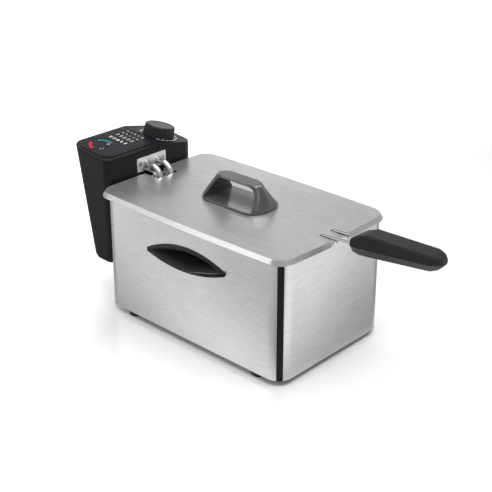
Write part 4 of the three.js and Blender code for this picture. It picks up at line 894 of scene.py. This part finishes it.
@dataclass
class Lid:
    """The lid's pressing, its moulded handle and the handle's screws.

    Each level of the handle is a height, half a length and half a width in millimetres. The
    outline of its tunnel runs up the front end and down the rear one, in millimetres from
    that end and from the floor or the roof.
    """

    sheet: float = 1.2 * MM
    slant: float = 3.3 * MM
    inner_slant: float = 2.6 * MM
    hem: float = 0.7 * MM
    least_wall: float = 3.0 * MM
    upright: float = 0.2
    facing: float = 0.35
    rim_edge: float = 0.35 * MM
    fit: float = 0.05 * MM
    handle_edge: float = 0.8 * MM
    handle_levels: tuple[Triple, ...] = (
        (0.0, 48.8, 26.8), (0.7, 49.5, 27.5), (3.0, 49.2, 27.1), (5.5, 48.0, 25.2),
        (8.5, 46.7, 22.4), (12.0, 45.0, 19.4), (16.0, 42.6, 16.6), (20.0, 39.8, 14.2),
        (24.0, 36.8, 12.2), (27.4, 34.3, 11.0), (29.2, 32.6, 10.4), (30.0, 31.0, 9.6))
    handle_corner: float = 17.0 * MM
    corner_steps: int = 12
    handle_ridge: float = 0.05
    ridge_growth: float = 0.009
    tunnel_rear: float = 12.0 * MM
    tunnel_front: float = 14.0 * MM
    front_rise: tuple[Pair, ...] = ((0.0, 0.0), (0.4, 7.0), (-0.4, 13.0), (-3.0, 18.6))
    front_crown: tuple[Pair, ...] = ((-7.0, -1.7), (-12.0, 0.0))
    rear_crown: tuple[Pair, ...] = ((17.0, 0.0), (11.4, -1.6))
    rear_fall: tuple[Pair, ...] = ((7.4, 18.0), (4.4, 12.0), (2.0, 6.0))
    tunnel_steps: int = 12
    overrun: float = 2.0 * MM
    bar: float = 2.3 * MM
    foot: float = 2.9 * MM
    dish: float = 1.4 * MM
    rear_drop: float = 1.5 * MM
    flare: float = 6.2 * MM
    flare_length: float = 8.0 * MM

    def build(self) -> None:
        """Builds the pressing and the handle."""
        self._panel()
        self._handle()
        dress(ZINC, "lid_handle_screw_1", "lid_handle_screw_2")

    def _handle(self) -> None:
        """A bridge with a ridge down each end and a finger tunnel over a dished foot."""
        low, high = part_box("lid_handle")
        body = Shape.plate(1.0, 1.0, 0)
        ends = [e for e in body.bm.edges if abs(e.verts[0].co.x - e.verts[1].co.x) < NEAR]
        bmesh.ops.subdivide_edges(body.bm, edges=ends, cuts=1)
        bmesh.ops.dissolve_faces(body.bm, faces=body.bm.faces)
        corners = [vert for vert in body.bm.verts if abs(vert.co.y) > NEAR]
        for vert in corners:
            vert.co.x *= 1 - self.handle_ridge
        length, width = (2 * half * MM for half in self.handle_levels[0][1:])
        body.stretch(length, width)
        body.round_corners(corners, self.handle_corner, self.corner_steps)
        for (z0, x0, y0), (z1, x1, y1) in zip(self.handle_levels, self.handle_levels[1:]):
            body.raise_top((z1 - z0) * MM, x1 / x0, y1 / y0)
            level = max(vert.co.z for vert in body.bm.verts)
            for vert in body.bm.verts:
                if abs(vert.co.y) < NEAR and vert.co.z > level - NEAR:
                    vert.co.x *= 1 + self.ridge_growth
        centre = (low + high) / 2
        body.outward().move(Matrix.Translation((centre.x, centre.y, low.z)))
        body.cut_away(self._tunnel(low, high)).soften(self.handle_edge, steps=3, degrees=35)
        body.place("lid_handle_moulding", GREY, "lid", "grey_plastic", ["lid_handle"], smooth=44)

    def _tunnel(self, low: Vector, high: Vector) -> Shape:
        """The space for the fingers, with a floor that dips in the middle."""
        floor, roof = low.z + self.foot, high.z - self.bar
        rear, front = low.x + self.tunnel_rear, high.x - self.tunnel_front
        stretches = (
            (rear, floor, ((0.0, 0.0),)), (front, floor, self.front_rise),
            (front, roof, self.front_crown), (rear, roof, self.rear_crown),
            (rear, floor, self.rear_fall))
        shape = Shape()
        start = low.y - self.overrun
        ring = [
            shape.bm.verts.new((end + x * MM, start, level + z * MM))
            for end, level, points in stretches for x, z in points]
        shape.bm.faces.new(ring)
        step = (high.y - low.y + 2 * self.overrun) / self.tunnel_steps
        for count in range(self.tunnel_steps):
            far = highest(shape.bm, 1)
            shape.extrude(far, Vector((0, step, 0)))
            if far.is_valid and count > 0:
                shape.drop([far])
        reach = (high.y - low.y) / 2
        for vert in shape.bm.verts:
            off = min(abs(vert.co.y - (low.y + high.y) / 2) / reach, 1.0)
            if vert.co.z < floor + self.fit:
                share = ramp(vert.co.y, (low.y, 2 * reach))
                vert.co.z -= max(self.dish * (1 - off ** 3), self.rear_drop * share)
            if vert.co.x > front - self.flare_length:
                vert.co.x += self.flare * off ** 2
        return shape.outward()

    def _panel(self) -> None:
        """The pressed panel, with its top edge rolled over into the rim."""
        shape = Shape.of_node("lid_panel")
        low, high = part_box("lid_panel")
        under = high.z - self.sheet
        inner = self._rim_edges(shape, under, -1)
        shape.bevel(self._rim_edges(shape, high.z, 1), self.slant, steps=1, clamp=False)
        shape.bevel(inner, self.inner_slant, steps=1, clamp=False)
        for vert in shape.bm.verts:
            if any(abs(vert.co.z - level) < self.fit
                   for level in (high.z - self.slant, under - self.inner_slant)):
                vert.co.z = low.z + self.hem
        shape.soften(self.rim_edge, degrees=18)
        shape.place("lid_pressing", STEEL_LID, "lid", "brushed_steel", ["lid_panel"])

    def _rim_edges(self, shape: Shape, level: float, way: int) -> list[bmesh.types.BMEdge]:
        """The edges at one level over the walls of the rim.

        Args:
            shape: The panel.
            level: The height of the edges.
            way: 1 for walls that face outwards, -1 for walls that face inwards.

        Returns:
            The edges, apart from those of the notches.
        """
        low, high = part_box("lid_panel")
        centre = (low + high) / 2
        found = []
        for edge in shape.bm.edges:
            off = max(abs(vert.co.z - level) for vert in edge.verts)
            if len(edge.link_faces) != 2 or off > self.fit:
                continue
            walls = [face for face in edge.link_faces if abs(face.normal.z) < self.upright]
            middle = (edge.verts[0].co + edge.verts[1].co) / 2 - centre
            middle.z = 0
            if len(walls) != 1:
                continue
            if way * walls[0].normal.dot(middle) < self.facing * middle.length:
                continue
            heights = [vert.co.z for vert in walls[0].verts]
            if max(heights) - min(heights) > self.least_wall:
                found.append(edge)
        return found


class Food(Enum):
    """The foods in the table, each with its heat and its shortest and longest time."""

    CHIPS = ("190", "3", "5")
    RINGS = ("180", "4", "6")
    PIECES = ("170", "6", "8")
    ROLLS = ("160", "5", "7")
    FISH = ("150", "8", "12")


@dataclass
class ControlUnit:
    """The hook-on unit: case, cover, label, lamps, dial and what is inside it."""

    label_rise: float = 0.36 * MM
    slope: float = 0.1
    ink: float = 0.06 * MM
    lamp_ring: float = 16.6 * MM
    lamp_ring_width: float = 1.1 * MM
    row_pitch: float = 6.95 * MM
    first_row: float = 11.3 * MM
    columns: Triple = (-26.5 * MM, -17.0 * MM, -8.5 * MM)
    sign_column: float = -38.0 * MM
    figure: float = 4.3 * MM
    bold: float = 0.12 * MM
    circle: Triple = (9.8, 8.6, 1.9)
    circle_width: float = 0.6 * MM
    dots: tuple[Triple, ...] = ((14.2, -8.6, 1.1), (15.6, -5.2, 1.1))
    dot_sides: int = 20
    ring_sides: int = 28
    bar_corner: float = 0.45
    chip_shifts: Triple = (-1.7, 0.0, 1.7)
    chip: Triple = (4.6, 1.1, 1.35)
    onion_ring: Pair = (2.5 * MM, 1.1 * MM)
    piece: Pair = (2.7, 0.72)
    roll: Triple = (5.4, 2.3, 0.5)
    fish: Pair = (2.7, 0.5)
    tail: Triple = (2.6, 0.9, 1.57)

    def build(self) -> None:
        """Builds the unit from its case outwards."""
        for node, name, finish, slot, edge, steps in (
            ("control_housing", "control_case", BLACK, "black_plastic", 0.5, 2),
            ("control_cover", "control_top", BLACK, "black_plastic", 0.9, 3),
            ("control_label", "control_film", FILM, "label_film", 0.12, 2),
            ("power_lamp", "power_lens", RED, "red_lens", 0.25, 3),
            ("ready_lamp", "ready_lens", TEAL, "teal_lens", 0.25, 3),
            ("dial_ring", "dial_plate", FILM, "label_film", 0.15, 2),
        ):
            retouch(node, name, finish, "control_unit", slot, edge, steps)
        self._marks()
        dress(CERAMIC, "thermostat_body", "thermal_cutout", "terminal_block")
        dress(BLACK, "interlock_switch")
        dress(RUBBER, "cord_inlet")
        dress(ZINC, *(f"cover_screw_{n}" for n in range(1, 4)))
        dress(BRASS, "interlock_pin")
        dress(RED, "reset_button")

    def _panel_frame(self) -> Matrix:
        """The frame of the label, about its own middle."""
        low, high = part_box("control_label")
        top = (low + high) / 2 + Vector((0, 0, self.label_rise))
        return tilted_frame(top, Vector((self.slope, 0, 1)))

    def _on_panel(self, x: float, y: float) -> Vector:
        """A place on the label in its own frame, from fryer coordinates."""
        origin = self._panel_frame().translation
        return Vector((y - origin.y, (origin.x - x) * math.hypot(1, self.slope), 0))

    def _marks(self) -> None:
        """The table of temperatures and minutes, and the signs about the lamps."""
        low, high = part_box("control_label")
        sheet = Shape()
        for row, food in enumerate(Food):
            x = low.x + self.first_row + row * self.row_pitch
            for inset, text in zip(self.columns, food.value):
                self._figure(sheet, text, self._on_panel(x, high.y + inset))
            self._sign(sheet, food, self._on_panel(x, high.y + self.sign_column))
        lamp = self._lamp_centre()
        x, y, radius = (size * MM for size in self.circle)
        self._ring(sheet, self._on_panel(lamp.x + x, lamp.y + y), radius, self.circle_width)
        for x, y, radius in self.dots:
            self._disc(sheet, self._on_panel(lamp.x + x * MM, lamp.y + y * MM), radius)
        border = Shape()
        self._ring(border, self._on_panel(lamp.x, lamp.y), self.lamp_ring, self.lamp_ring_width)
        for marks, name, ink in ((sheet, "panel_marks", INK), (border, "lamp_border", INK_BLACK)):
            marks.move(self._panel_frame() @ Matrix.Translation((0, 0, self.ink)))
            marks.place(name, ink, "control_unit", "label_film")

    def _lamp_centre(self) -> Vector:
        """The centre of the circle that the two lamps lie on."""
        return (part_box("power_lamp")[1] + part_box("ready_lamp")[0]) / 2

    def _figure(self, sheet: Shape, text: str, where: Vector) -> None:
        """Adds a number in flat figures."""
        curve = bpy.data.curves.new("figure", "FONT")
        curve.body = text
        curve.size = self.figure
        curve.offset = self.bold
        curve.align_x, curve.align_y = "CENTER", "CENTER"
        curve.resolution_u = 2
        sheet.add(Shape.of_curve(curve).move(Matrix.Translation(where)))

    def _disc(self, sheet: Shape, where: Vector, radius: float, squeeze: float = 1.0) -> None:
        """Adds a small dot or oval, with its radius in millimetres."""
        dot = Shape.disc(radius * MM, self.dot_sides)
        dot.stretch(1, squeeze)
        sheet.add(dot.move(Matrix.Translation(where)))

    def _ring(self, sheet: Shape, where: Vector, radius: float, width: float) -> None:
        """Adds a thin ring."""
        ring = Shape.disc(radius, self.ring_sides)
        face = next(iter(ring.bm.faces))
        bmesh.ops.inset_region(ring.bm, faces=[face], thickness=width, depth=0, use_boundary=True)
        bmesh.ops.delete(ring.bm, geom=[face], context="FACES")
        sheet.add(ring.move(Matrix.Translation(where)))

    def _bar(self, sheet: Shape, where: Vector, shift: float, size: Triple) -> None:
        """Adds a short bar with round ends.

        Args:
            sheet: The marks so far.
            where: The middle of the sign.
            shift: How far the bar is from there sideways, in millimetres.
            size: Its length and width in millimetres, and its turn in radians.
        """
        length, width = size[0] * MM, size[1] * MM
        place = Matrix.Translation(where + Vector((shift * MM, 0, 0)))
        bar = Shape.plate(length, width, width * self.bar_corner, steps=3)
        sheet.add(bar.move(place @ Matrix.Rotation(size[2], 4, "Z")))

    def _sign(self, sheet: Shape, food: Food, where: Vector) -> None:
        """Adds the plain sign of one food."""
        if food is Food.CHIPS:
            for shift in self.chip_shifts:
                self._bar(sheet, where, shift, self.chip)
        elif food is Food.RINGS:
            self._ring(sheet, where, *self.onion_ring)
        elif food is Food.PIECES:
            self._disc(sheet, where, *self.piece)
        elif food is Food.ROLLS:
            self._bar(sheet, where, 0, self.roll)
        else:
            self._disc(sheet, where, *self.fish)
            self._bar(sheet, where, self.fish[0], self.tail)


@dataclass
class Knob:
    """The thermostat knob, its shaft and the tick marks round it.

    The drum rises in steps of so many millimetres, each with how wide it ends. The rings of
    its top are so wide and so much lower, in millimetres.
    """

    flutes: int = 20
    flute_depth: float = 0.95 * MM
    flute_from: float = 0.9
    sides_per_flute: int = 6
    lift: float = 1.6 * MM
    radius: float = 20.9 * MM
    rises: tuple[Pair, ...] = (
        (0.5, 1.0), (0.6, 0.998), (3.2, 0.994), (4.2, 0.99), (3.2, 0.988), (1.0, 0.978),
        (0.6, 0.96), (0.3, 0.93))
    top_rings: tuple[Pair, ...] = ((0.6, 0.0), (0.6, -0.12), (4.0, -0.25), (6.0, -0.12))
    fluted: Pair = (0.3 * MM, 12.6 * MM)
    tick_radius: float = 24.4 * MM
    tick_width: float = 1.3 * MM
    tick_step: float = 15.0
    tick_sweep: float = 10.5
    tick_height: float = 0.81 * MM
    bare_side: float = -18.5 * MM

    def build(self) -> None:
        """Builds the knob and its ticks."""
        self._grip()
        self._ticks()
        dress(ZINC, "knob_shaft")

    def _frame(self) -> Matrix:
        """The frame of the knob: its Z is the axis of the joint."""
        joint = next(joint for joint in FRAME["joints"] if joint["name"] == "knob_turn")
        return tilted_frame(Vector(joint["pos_m"]), Vector(joint["axis"]))

    def _grip(self) -> None:
        """A fluted drum with a soft shoulder and a slightly dished top."""
        shape = Shape.disc(self.radius, self.flutes * self.sides_per_flute)
        bmesh.ops.translate(shape.bm, vec=(0, 0, self.lift), verts=shape.bm.verts)
        for rise, scale in self.rises:
            shape.raise_top(rise * MM, scale)
        top = highest(shape.bm)
        for width, depth in self.top_rings:
            bmesh.ops.inset_region(
                shape.bm, faces=[top], thickness=width * MM, depth=depth * MM)
        low, high = (self.lift + height for height in self.fluted)
        for vert in shape.bm.verts:
            reach = math.hypot(vert.co.x, vert.co.y)
            if reach < self.flute_from * self.radius or not low <= vert.co.z <= high:
                continue
            wave = 0.5 - 0.5 * math.cos(math.atan2(vert.co.y, vert.co.x) * self.flutes)
            squeeze = 1 - self.flute_depth * wave ** 2 / reach
            vert.co.x *= squeeze
            vert.co.y *= squeeze
        shape.outward().move(self._frame())
        shape.place("knob_grip", KNOB_BLACK, "knob", "black_plastic", ["knob"], smooth=50)

    def _ticks(self) -> None:
        """Short white arcs round the knob, on the dial plate."""
        sheet = Shape()
        for index in range(int(360 / self.tick_step)):
            angle = index * self.tick_step
            if self.tick_radius * math.cos(math.radians(angle)) < self.bare_side:
                continue
            arc = Shape()
            ends = [
                arc.bm.verts.new((self.tick_radius + side * self.tick_width / 2, 0, 0))
                for side in (-1, 1)]
            bmesh.ops.spin(
                arc.bm, geom=[*ends, arc.bm.edges.new(ends)], cent=(0, 0, 0), axis=(0, 0, 1),
                angle=math.radians(self.tick_sweep), steps=5)
            start = math.radians(angle - self.tick_sweep / 2)
            sheet.add(arc.move(Matrix.Rotation(start, 4, "Z")))
        sheet.face_out()
        sheet.move(self._frame() @ Matrix.Translation((0, 0, self.tick_height)))
        sheet.place("dial_ticks", INK, "control_unit", "label_film")


@dataclass
class Heater:
    """The heating element with its plate, collars, strap and thermostat capillary."""

    tube: float = 4.0 * MM
    bend: float = 17.0 * MM
    leg_height: float = 171.0 * MM
    half_spacing: float = 9.3 * MM
    drop_at: float = -164.127 * MM
    drop: float = 1.5 * MM
    spread: float = 10.0 * MM
    knee: float = 36.0 * MM

    def build(self) -> None:
        """Builds the heater from the plate into the pot."""
        self._tube()
        for node, name, finish, edge, steps in (
            ("heater_plate", "heater_flange", STEEL_SATIN, 0.3, 2),
            ("heater_collar_1", "tube_collar_1", STEEL_TUBE, 0.5, 3),
            ("heater_collar_2", "tube_collar_2", STEEL_TUBE, 0.5, 3),
        ):
            retouch(node, name, finish, "control_unit", "polished_steel", edge, steps)
        Shape.of_node("sensor_capillary").place(
            "capillary", STEEL_PLAIN, "control_unit", "plain_steel", ["sensor_capillary"],
            smooth=60)
        dress(STEEL_BRIGHT, "heater_strap")
        dress(ZINC, "plate_screw_1", "plate_screw_2")

    def _tube(self) -> None:
        """One tube that comes down each leg and runs round the floor of the pot."""
        low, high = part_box("heating_element")
        loop, wide = low.z + self.tube, high.y - self.tube
        legs = [
            [
                Vector((low.x, sign * self.half_spacing, self.leg_height)),
                Vector((self.drop_at, sign * self.half_spacing, self.leg_height)),
                Vector((self.drop_at + self.drop, sign * self.half_spacing, loop + self.knee)),
                Vector((self.drop_at + self.spread, sign * wide, loop)),
                Vector((high.x - self.tube, sign * wide, loop)),
            ]
            for sign in (-1, 1)]
        Rod(legs[0] + legs[1][::-1], self.tube, self.bend, fineness=6).shape().place(
            "heater_tube", STEEL_TUBE, "control_unit", "polished_steel", ["heating_element"],
            smooth=60)


@dataclass
class Basket:
    """The woven wire basket with its rim band, hooks and handle bracket."""

    pitch: float = 6.2 * MM
    wire: float = 1.0 * MM
    corner: float = 15.0 * MM

    def build(self) -> None:
        """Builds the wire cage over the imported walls, then the band and the bracket."""
        self._cage()
        retouch("basket_frame", "basket_band", WIRE_BRIGHT, "basket", "basket_wire", edge=0.4)
        retouch("basket_socket", "basket_bracket", STEEL_BRIGHT, "basket", "plain_steel", edge=0.3)

    def _cage(self) -> None:
        """Walls and floor of square mesh, turned into wire."""
        low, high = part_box("basket_mesh")
        half = self.wire / 2
        low, high = low + Vector((half,) * 3), high - Vector((half,) * 3)
        size, centre = high - low, (low + high) / 2
        wall = Shape.plate(size.x, size.y, self.corner, steps=5)
        wall.drop(list(wall.bm.faces))
        for edge in [e for e in wall.bm.edges if e.calc_length() > 2 * self.pitch]:
            cuts = round(edge.calc_length() / self.pitch) - 1
            bmesh.ops.subdivide_edges(wall.bm, edges=[edge], cuts=cuts)
        rings = round(size.z / self.pitch)
        rim = list(wall.bm.edges)
        for _ in range(rings):
            made = bmesh.ops.extrude_edge_only(wall.bm, edges=rim)["geom"]
            verts = new_verts(made)
            bmesh.ops.translate(wall.bm, vec=(0, 0, size.z / rings), verts=verts)
            rim = [
                item for item in made
                if isinstance(item, bmesh.types.BMEdge) and all(v in verts for v in item.verts)]
        floor = Shape()
        bmesh.ops.create_grid(
            floor.bm, x_segments=round(size.x / self.pitch),
            y_segments=round(size.y / self.pitch), size=0.5)
        floor.stretch(size.x, size.y)
        for vert in floor.bm.verts:
            self._pull_in(vert, size)
        wall.add(floor)
        wall.face_out()
        bmesh.ops.wireframe(
            wall.bm, faces=wall.bm.faces, thickness=self.wire, offset=0.0, use_replace=True,
            use_boundary=True, use_even_offset=True)
        wall.move(Matrix.Translation((centre.x, centre.y, low.z)))
        wall.place("basket_wires", WIRE_BRIGHT, "basket", "basket_wire", ["basket_mesh"], smooth=75)

    def _pull_in(self, vert: bmesh.types.BMVert, size: Vector) -> None:
        """Brings a floor point inside the round corners of the walls."""
        inner = Vector((size.x / 2 - self.corner, size.y / 2 - self.corner))
        past = Vector((abs(vert.co.x) - inner.x, abs(vert.co.y) - inner.y))
        if past.x <= 0 or past.y <= 0 or past.length <= self.corner:
            return
        past *= self.corner / past.length
        vert.co.x = math.copysign(inner.x + past.x, vert.co.x)
        vert.co.y = math.copysign(inner.y + past.y, vert.co.y)


@dataclass
class BasketHandle:
    """The clip-on handle: two grip halves on two steel prongs."""

    edge: float = 1.4 * MM
    prong: float = 1.5 * MM
    bend: float = 3.5 * MM
    slope: float = 0.09
    hook_radius: float = 0.9 * MM
    hook_bend: float = 1.0 * MM
    hook_ahead: float = 19.5 * MM
    hook_path: tuple[Pair, ...] = ((0.0, 0.0), (1.4, -2.2), (3.2, -4.4))

    def build(self) -> None:
        """Builds the grip and its prongs."""
        for node, name, finish in (
            ("grip_upper", "grip_top", GRIP), ("grip_lower", "grip_underside", GRIP_UNDER)
        ):
            Shape.of_node(node).soften(self.edge, steps=4, degrees=22).place(
                name, finish, "basket_handle", "black_plastic", [node], smooth=50)
        for number in (1, 2):
            self._prong(number)
        dress(ZINC, "grip_screw")

    def _prong(self, number: int) -> None:
        """One prong, with the small hook that keeps it in the grip's collar."""
        low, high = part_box(f"prong_{number}")
        y = (low.y + high.y) / 2
        front = low.x + self.prong
        rise = high.x - front
        top = high.z - self.prong - rise * self.slope
        ends = ((front, low.z), (front, top), (high.x, top + rise * self.slope))
        rod = Rod([Vector((x, y, z)) for x, z in ends], self.prong, self.bend, 4).shape()
        start = Vector((front + self.hook_ahead, y, top + self.hook_ahead * self.slope))
        hook = [start + Vector((x * MM, 0, z * MM)) for x, z in self.hook_path]
        rod.add(Rod(hook, self.hook_radius, self.hook_bend, fineness=3).shape())
        rod.place(
            f"prong_rod_{number}", STEEL_ROD, "basket_handle", "polished_steel",
            [f"prong_{number}"], smooth=60)


# --------------------------------------------------------------------- studio


@dataclass(frozen=True)
class Softbox:
    """A large soft lamp."""

    name: str
    place: Triple
    aim: Triple
    size: Pair
    power: float

    def build(self) -> None:
        """Hangs the lamp and turns it to its aim."""
        lamp = bpy.data.lights.new(self.name, "AREA")
        lamp.shape = "RECTANGLE"
        lamp.size, lamp.size_y = self.size
        lamp.energy = self.power
        item = hang(self.name, lamp)
        item.location = self.place
        way = Vector(self.aim) - Vector(self.place)
        item.rotation_euler = way.to_track_quat("-Z", "Y").to_euler()
        item.visible_camera = False


@dataclass
class Floor:
    """A plain pale floor that mirrors a little and keeps the shadow.

    To the eye it is white, with a little light of its own behind the unit and far away. In
    the fryer's steel it shows only a painted reflection: a graded white glow, with a darker
    band slanting past each side, fading at the free end and the near corner, and a painted
    shadow under the body. A border is where a change lies and how soft it is, both in metres.
    """

    half: float = 7.0
    tone: float = 0.98
    unevenness: float = 0.01
    mottle: Triple = (3.0, 2.0, 0.5)
    roughness: float = 0.13
    index: float = 1.8
    lift: float = 0.05
    rear_border: Pair = (0.19, 0.07)
    rear_lift: float = 0.58
    far_border: Pair = (1.5, 0.4)
    far_lift: float = 0.37
    glow_peak: float = 0.67
    side_glow: float = 1.25
    band_slant: Pair = (-0.41, 0.91)
    band_offset: float = 0.112
    band_border: Pair = (0.06, 0.05)
    band_drop: float = 0.66
    wide_border: Pair = (0.28, 0.12)
    wide_rise: float = 0.24
    end_glow: float = 0.45
    end_slant: float = 0.28
    end_border: Pair = (0.18, 0.115)
    end_rise: float = 1.02
    turn_border: Pair = (0.125, 0.015)
    corner_border: Pair = (0.13, 0.03)
    corner_drop: float = 0.72
    body_half: Pair = (0.15, 0.097)
    body_offset: float = 0.03
    body_border: Pair = (0.0, 0.006)

    def build(self) -> None:
        """Lays the floor."""
        graph = Graph("studio_floor")
        uneven = graph.noise(graph.where(), *self.mottle)
        graph.feed(graph.surface, {
            "Base Color": graph.mix(uneven, (self.tone,) * 3, (self.tone + self.unevenness,) * 3),
            "Roughness": self.roughness,
            "IOR": self.index,
        })
        split = graph.node("ShaderNodeSeparateXYZ", {}, {"Vector": graph.where()}).outputs
        x, y = Value(graph, split["X"]), Value(graph, split["Y"])
        rays = graph.node("ShaderNodeLightPath").outputs
        own = graph.emission(self._lift(x, y))
        lit = graph.node("ShaderNodeAddShader", {}, {0: graph.bare, 1: own}).outputs[0]
        seen = Value(graph, rays["Is Camera Ray"]) + Value(graph, rays["Is Transmission Ray"])
        direct = graph.choose(seen, graph.bare, lit)
        # Glossy rays see a painted reflection: a glow graded by place instead of the lit floor.
        mirrored = graph.emission(self._glow(x, y))
        graph.feed(graph.output, {
            "Surface": graph.choose(Value(graph, rays["Is Glossy Ray"]), direct, mirrored)})
        floor = hang("floor", Shape.plate(2 * self.half, 2 * self.half, 0).mesh("floor"))
        floor.data.materials.append(graph.material)

    def _lift(self, x: Value, y: Value) -> Value:
        """How much light of its own the floor adds to its lit white for the eye."""
        behind = (x * -1.0).above(*self.rear_border) * self.rear_lift
        far = (x.size() + y.size()).above(*self.far_border) * self.far_lift
        return behind + far + self.lift

    def _glow(self, x: Value, y: Value) -> Value:
        """How bright the floor's painted reflection is in the fryer's steel, where 1 is white."""
        band = x * self.band_slant[0] - y.size() * self.band_slant[1] + self.band_offset
        beside = (
            self.side_glow - band.size().above(*self.band_border) * self.band_drop
            + y.size().above(*self.wide_border) * self.wide_rise)
        ahead = (x - y * self.end_slant).above(*self.end_border) * self.end_rise + self.end_glow
        turn = x.above(*self.turn_border)
        corner = turn * (y * -1.0).above(*self.corner_border)
        open_air = beside + (ahead - beside) * turn - corner * self.corner_drop
        # Painted shadow under the body, seen only in reflections.
        length, width = self.body_half
        under = (width - y.size()).above(*self.body_border)
        under = under * (length - (x + self.body_offset).size()).above(*self.body_border)
        return open_air * (1.0 - under) * self.glow_peak


@dataclass
class Studio:
    """The camera, the floor, the surroundings and the lamps."""

    camera_place: Triple = (0.81313, -0.89440, 0.68285)
    heading: float = 42.968
    dip: float = 23.5125
    lens: float = 80.41
    sensor: float = 36.0
    shift: Pair = (-0.003, -0.0716)
    reach: float = 60.0
    horizon: float = 0.5
    zenith: float = 0.22
    zenith_from: float = 0.7
    lamps: tuple[Softbox, ...] = (
        Softbox("overhead", (0.45, 0.15, 2.4), (0, 0, 0.1), (2.2, 2.2), 65.0),
        Softbox("front_left", (-1.35, -1.85, 1.45), (0, 0, 0.15), (1.4, 1.5), 9.0),
        Softbox("back", (-3.2, 2.4, 1.0), (-1.6, 0, 0.15), (3.4, 1.2), 10.4),
    )

    def build(self) -> None:
        """Sets the whole studio up."""
        bpy.context.scene.view_settings.view_transform = "Standard"
        self._camera()
        Floor().build()
        self._surroundings()
        for lamp in self.lamps:
            lamp.build()

    def _camera(self) -> None:
        """The camera, level and slightly above the lid."""
        data = bpy.data.cameras.new("camera")
        data.lens = self.lens
        data.sensor_width = self.sensor
        data.shift_x, data.shift_y = self.shift
        data.clip_end = self.reach
        item = hang("camera", data)
        item.location = self.camera_place
        item.rotation_euler = (math.radians(90 - self.dip), 0, math.radians(self.heading))
        bpy.context.scene.camera = item

    def _surroundings(self) -> None:
        """A pale room, lighter at the horizon than overhead, and white to the camera."""
        world = bpy.data.worlds.new("studio")
        bpy.context.scene.world = world
        tree = Tree(world)
        way = tree.node("ShaderNodeTexCoord").outputs["Generated"]
        height = tree.node("ShaderNodeSeparateXYZ", {}, {"Vector": way}).outputs["Z"]
        level = tree.node("ShaderNodeMapRange", {}, {
            "Value": height, "From Min": 0.0, "From Max": self.zenith_from,
            "To Min": self.horizon, "To Max": self.zenith}).outputs["Result"]
        room, white = (
            tree.node("ShaderNodeBackground", {}, {"Color": WHITE, "Strength": strength}).outputs[0]
            for strength in (level, 1.0))
        seen = Value(tree, tree.node("ShaderNodeLightPath").outputs["Is Camera Ray"])
        tree.node("ShaderNodeOutputWorld", {}, {"Surface": tree.choose(seen, room, white)})


def main() -> None:
    """Builds the fryer in the order in which it is put together."""
    logging.basicConfig(level=logging.INFO, format="%(name)s %(message)s")
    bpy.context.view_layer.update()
    Studio().build()
    for part in (Housing, OilPot, Lid, ControlUnit, Knob, Heater, Basket, BasketHandle):
        LOG.info("building %s", part.__name__)
        part().build()


if __name__ == "__main__":
    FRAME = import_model()
    main()
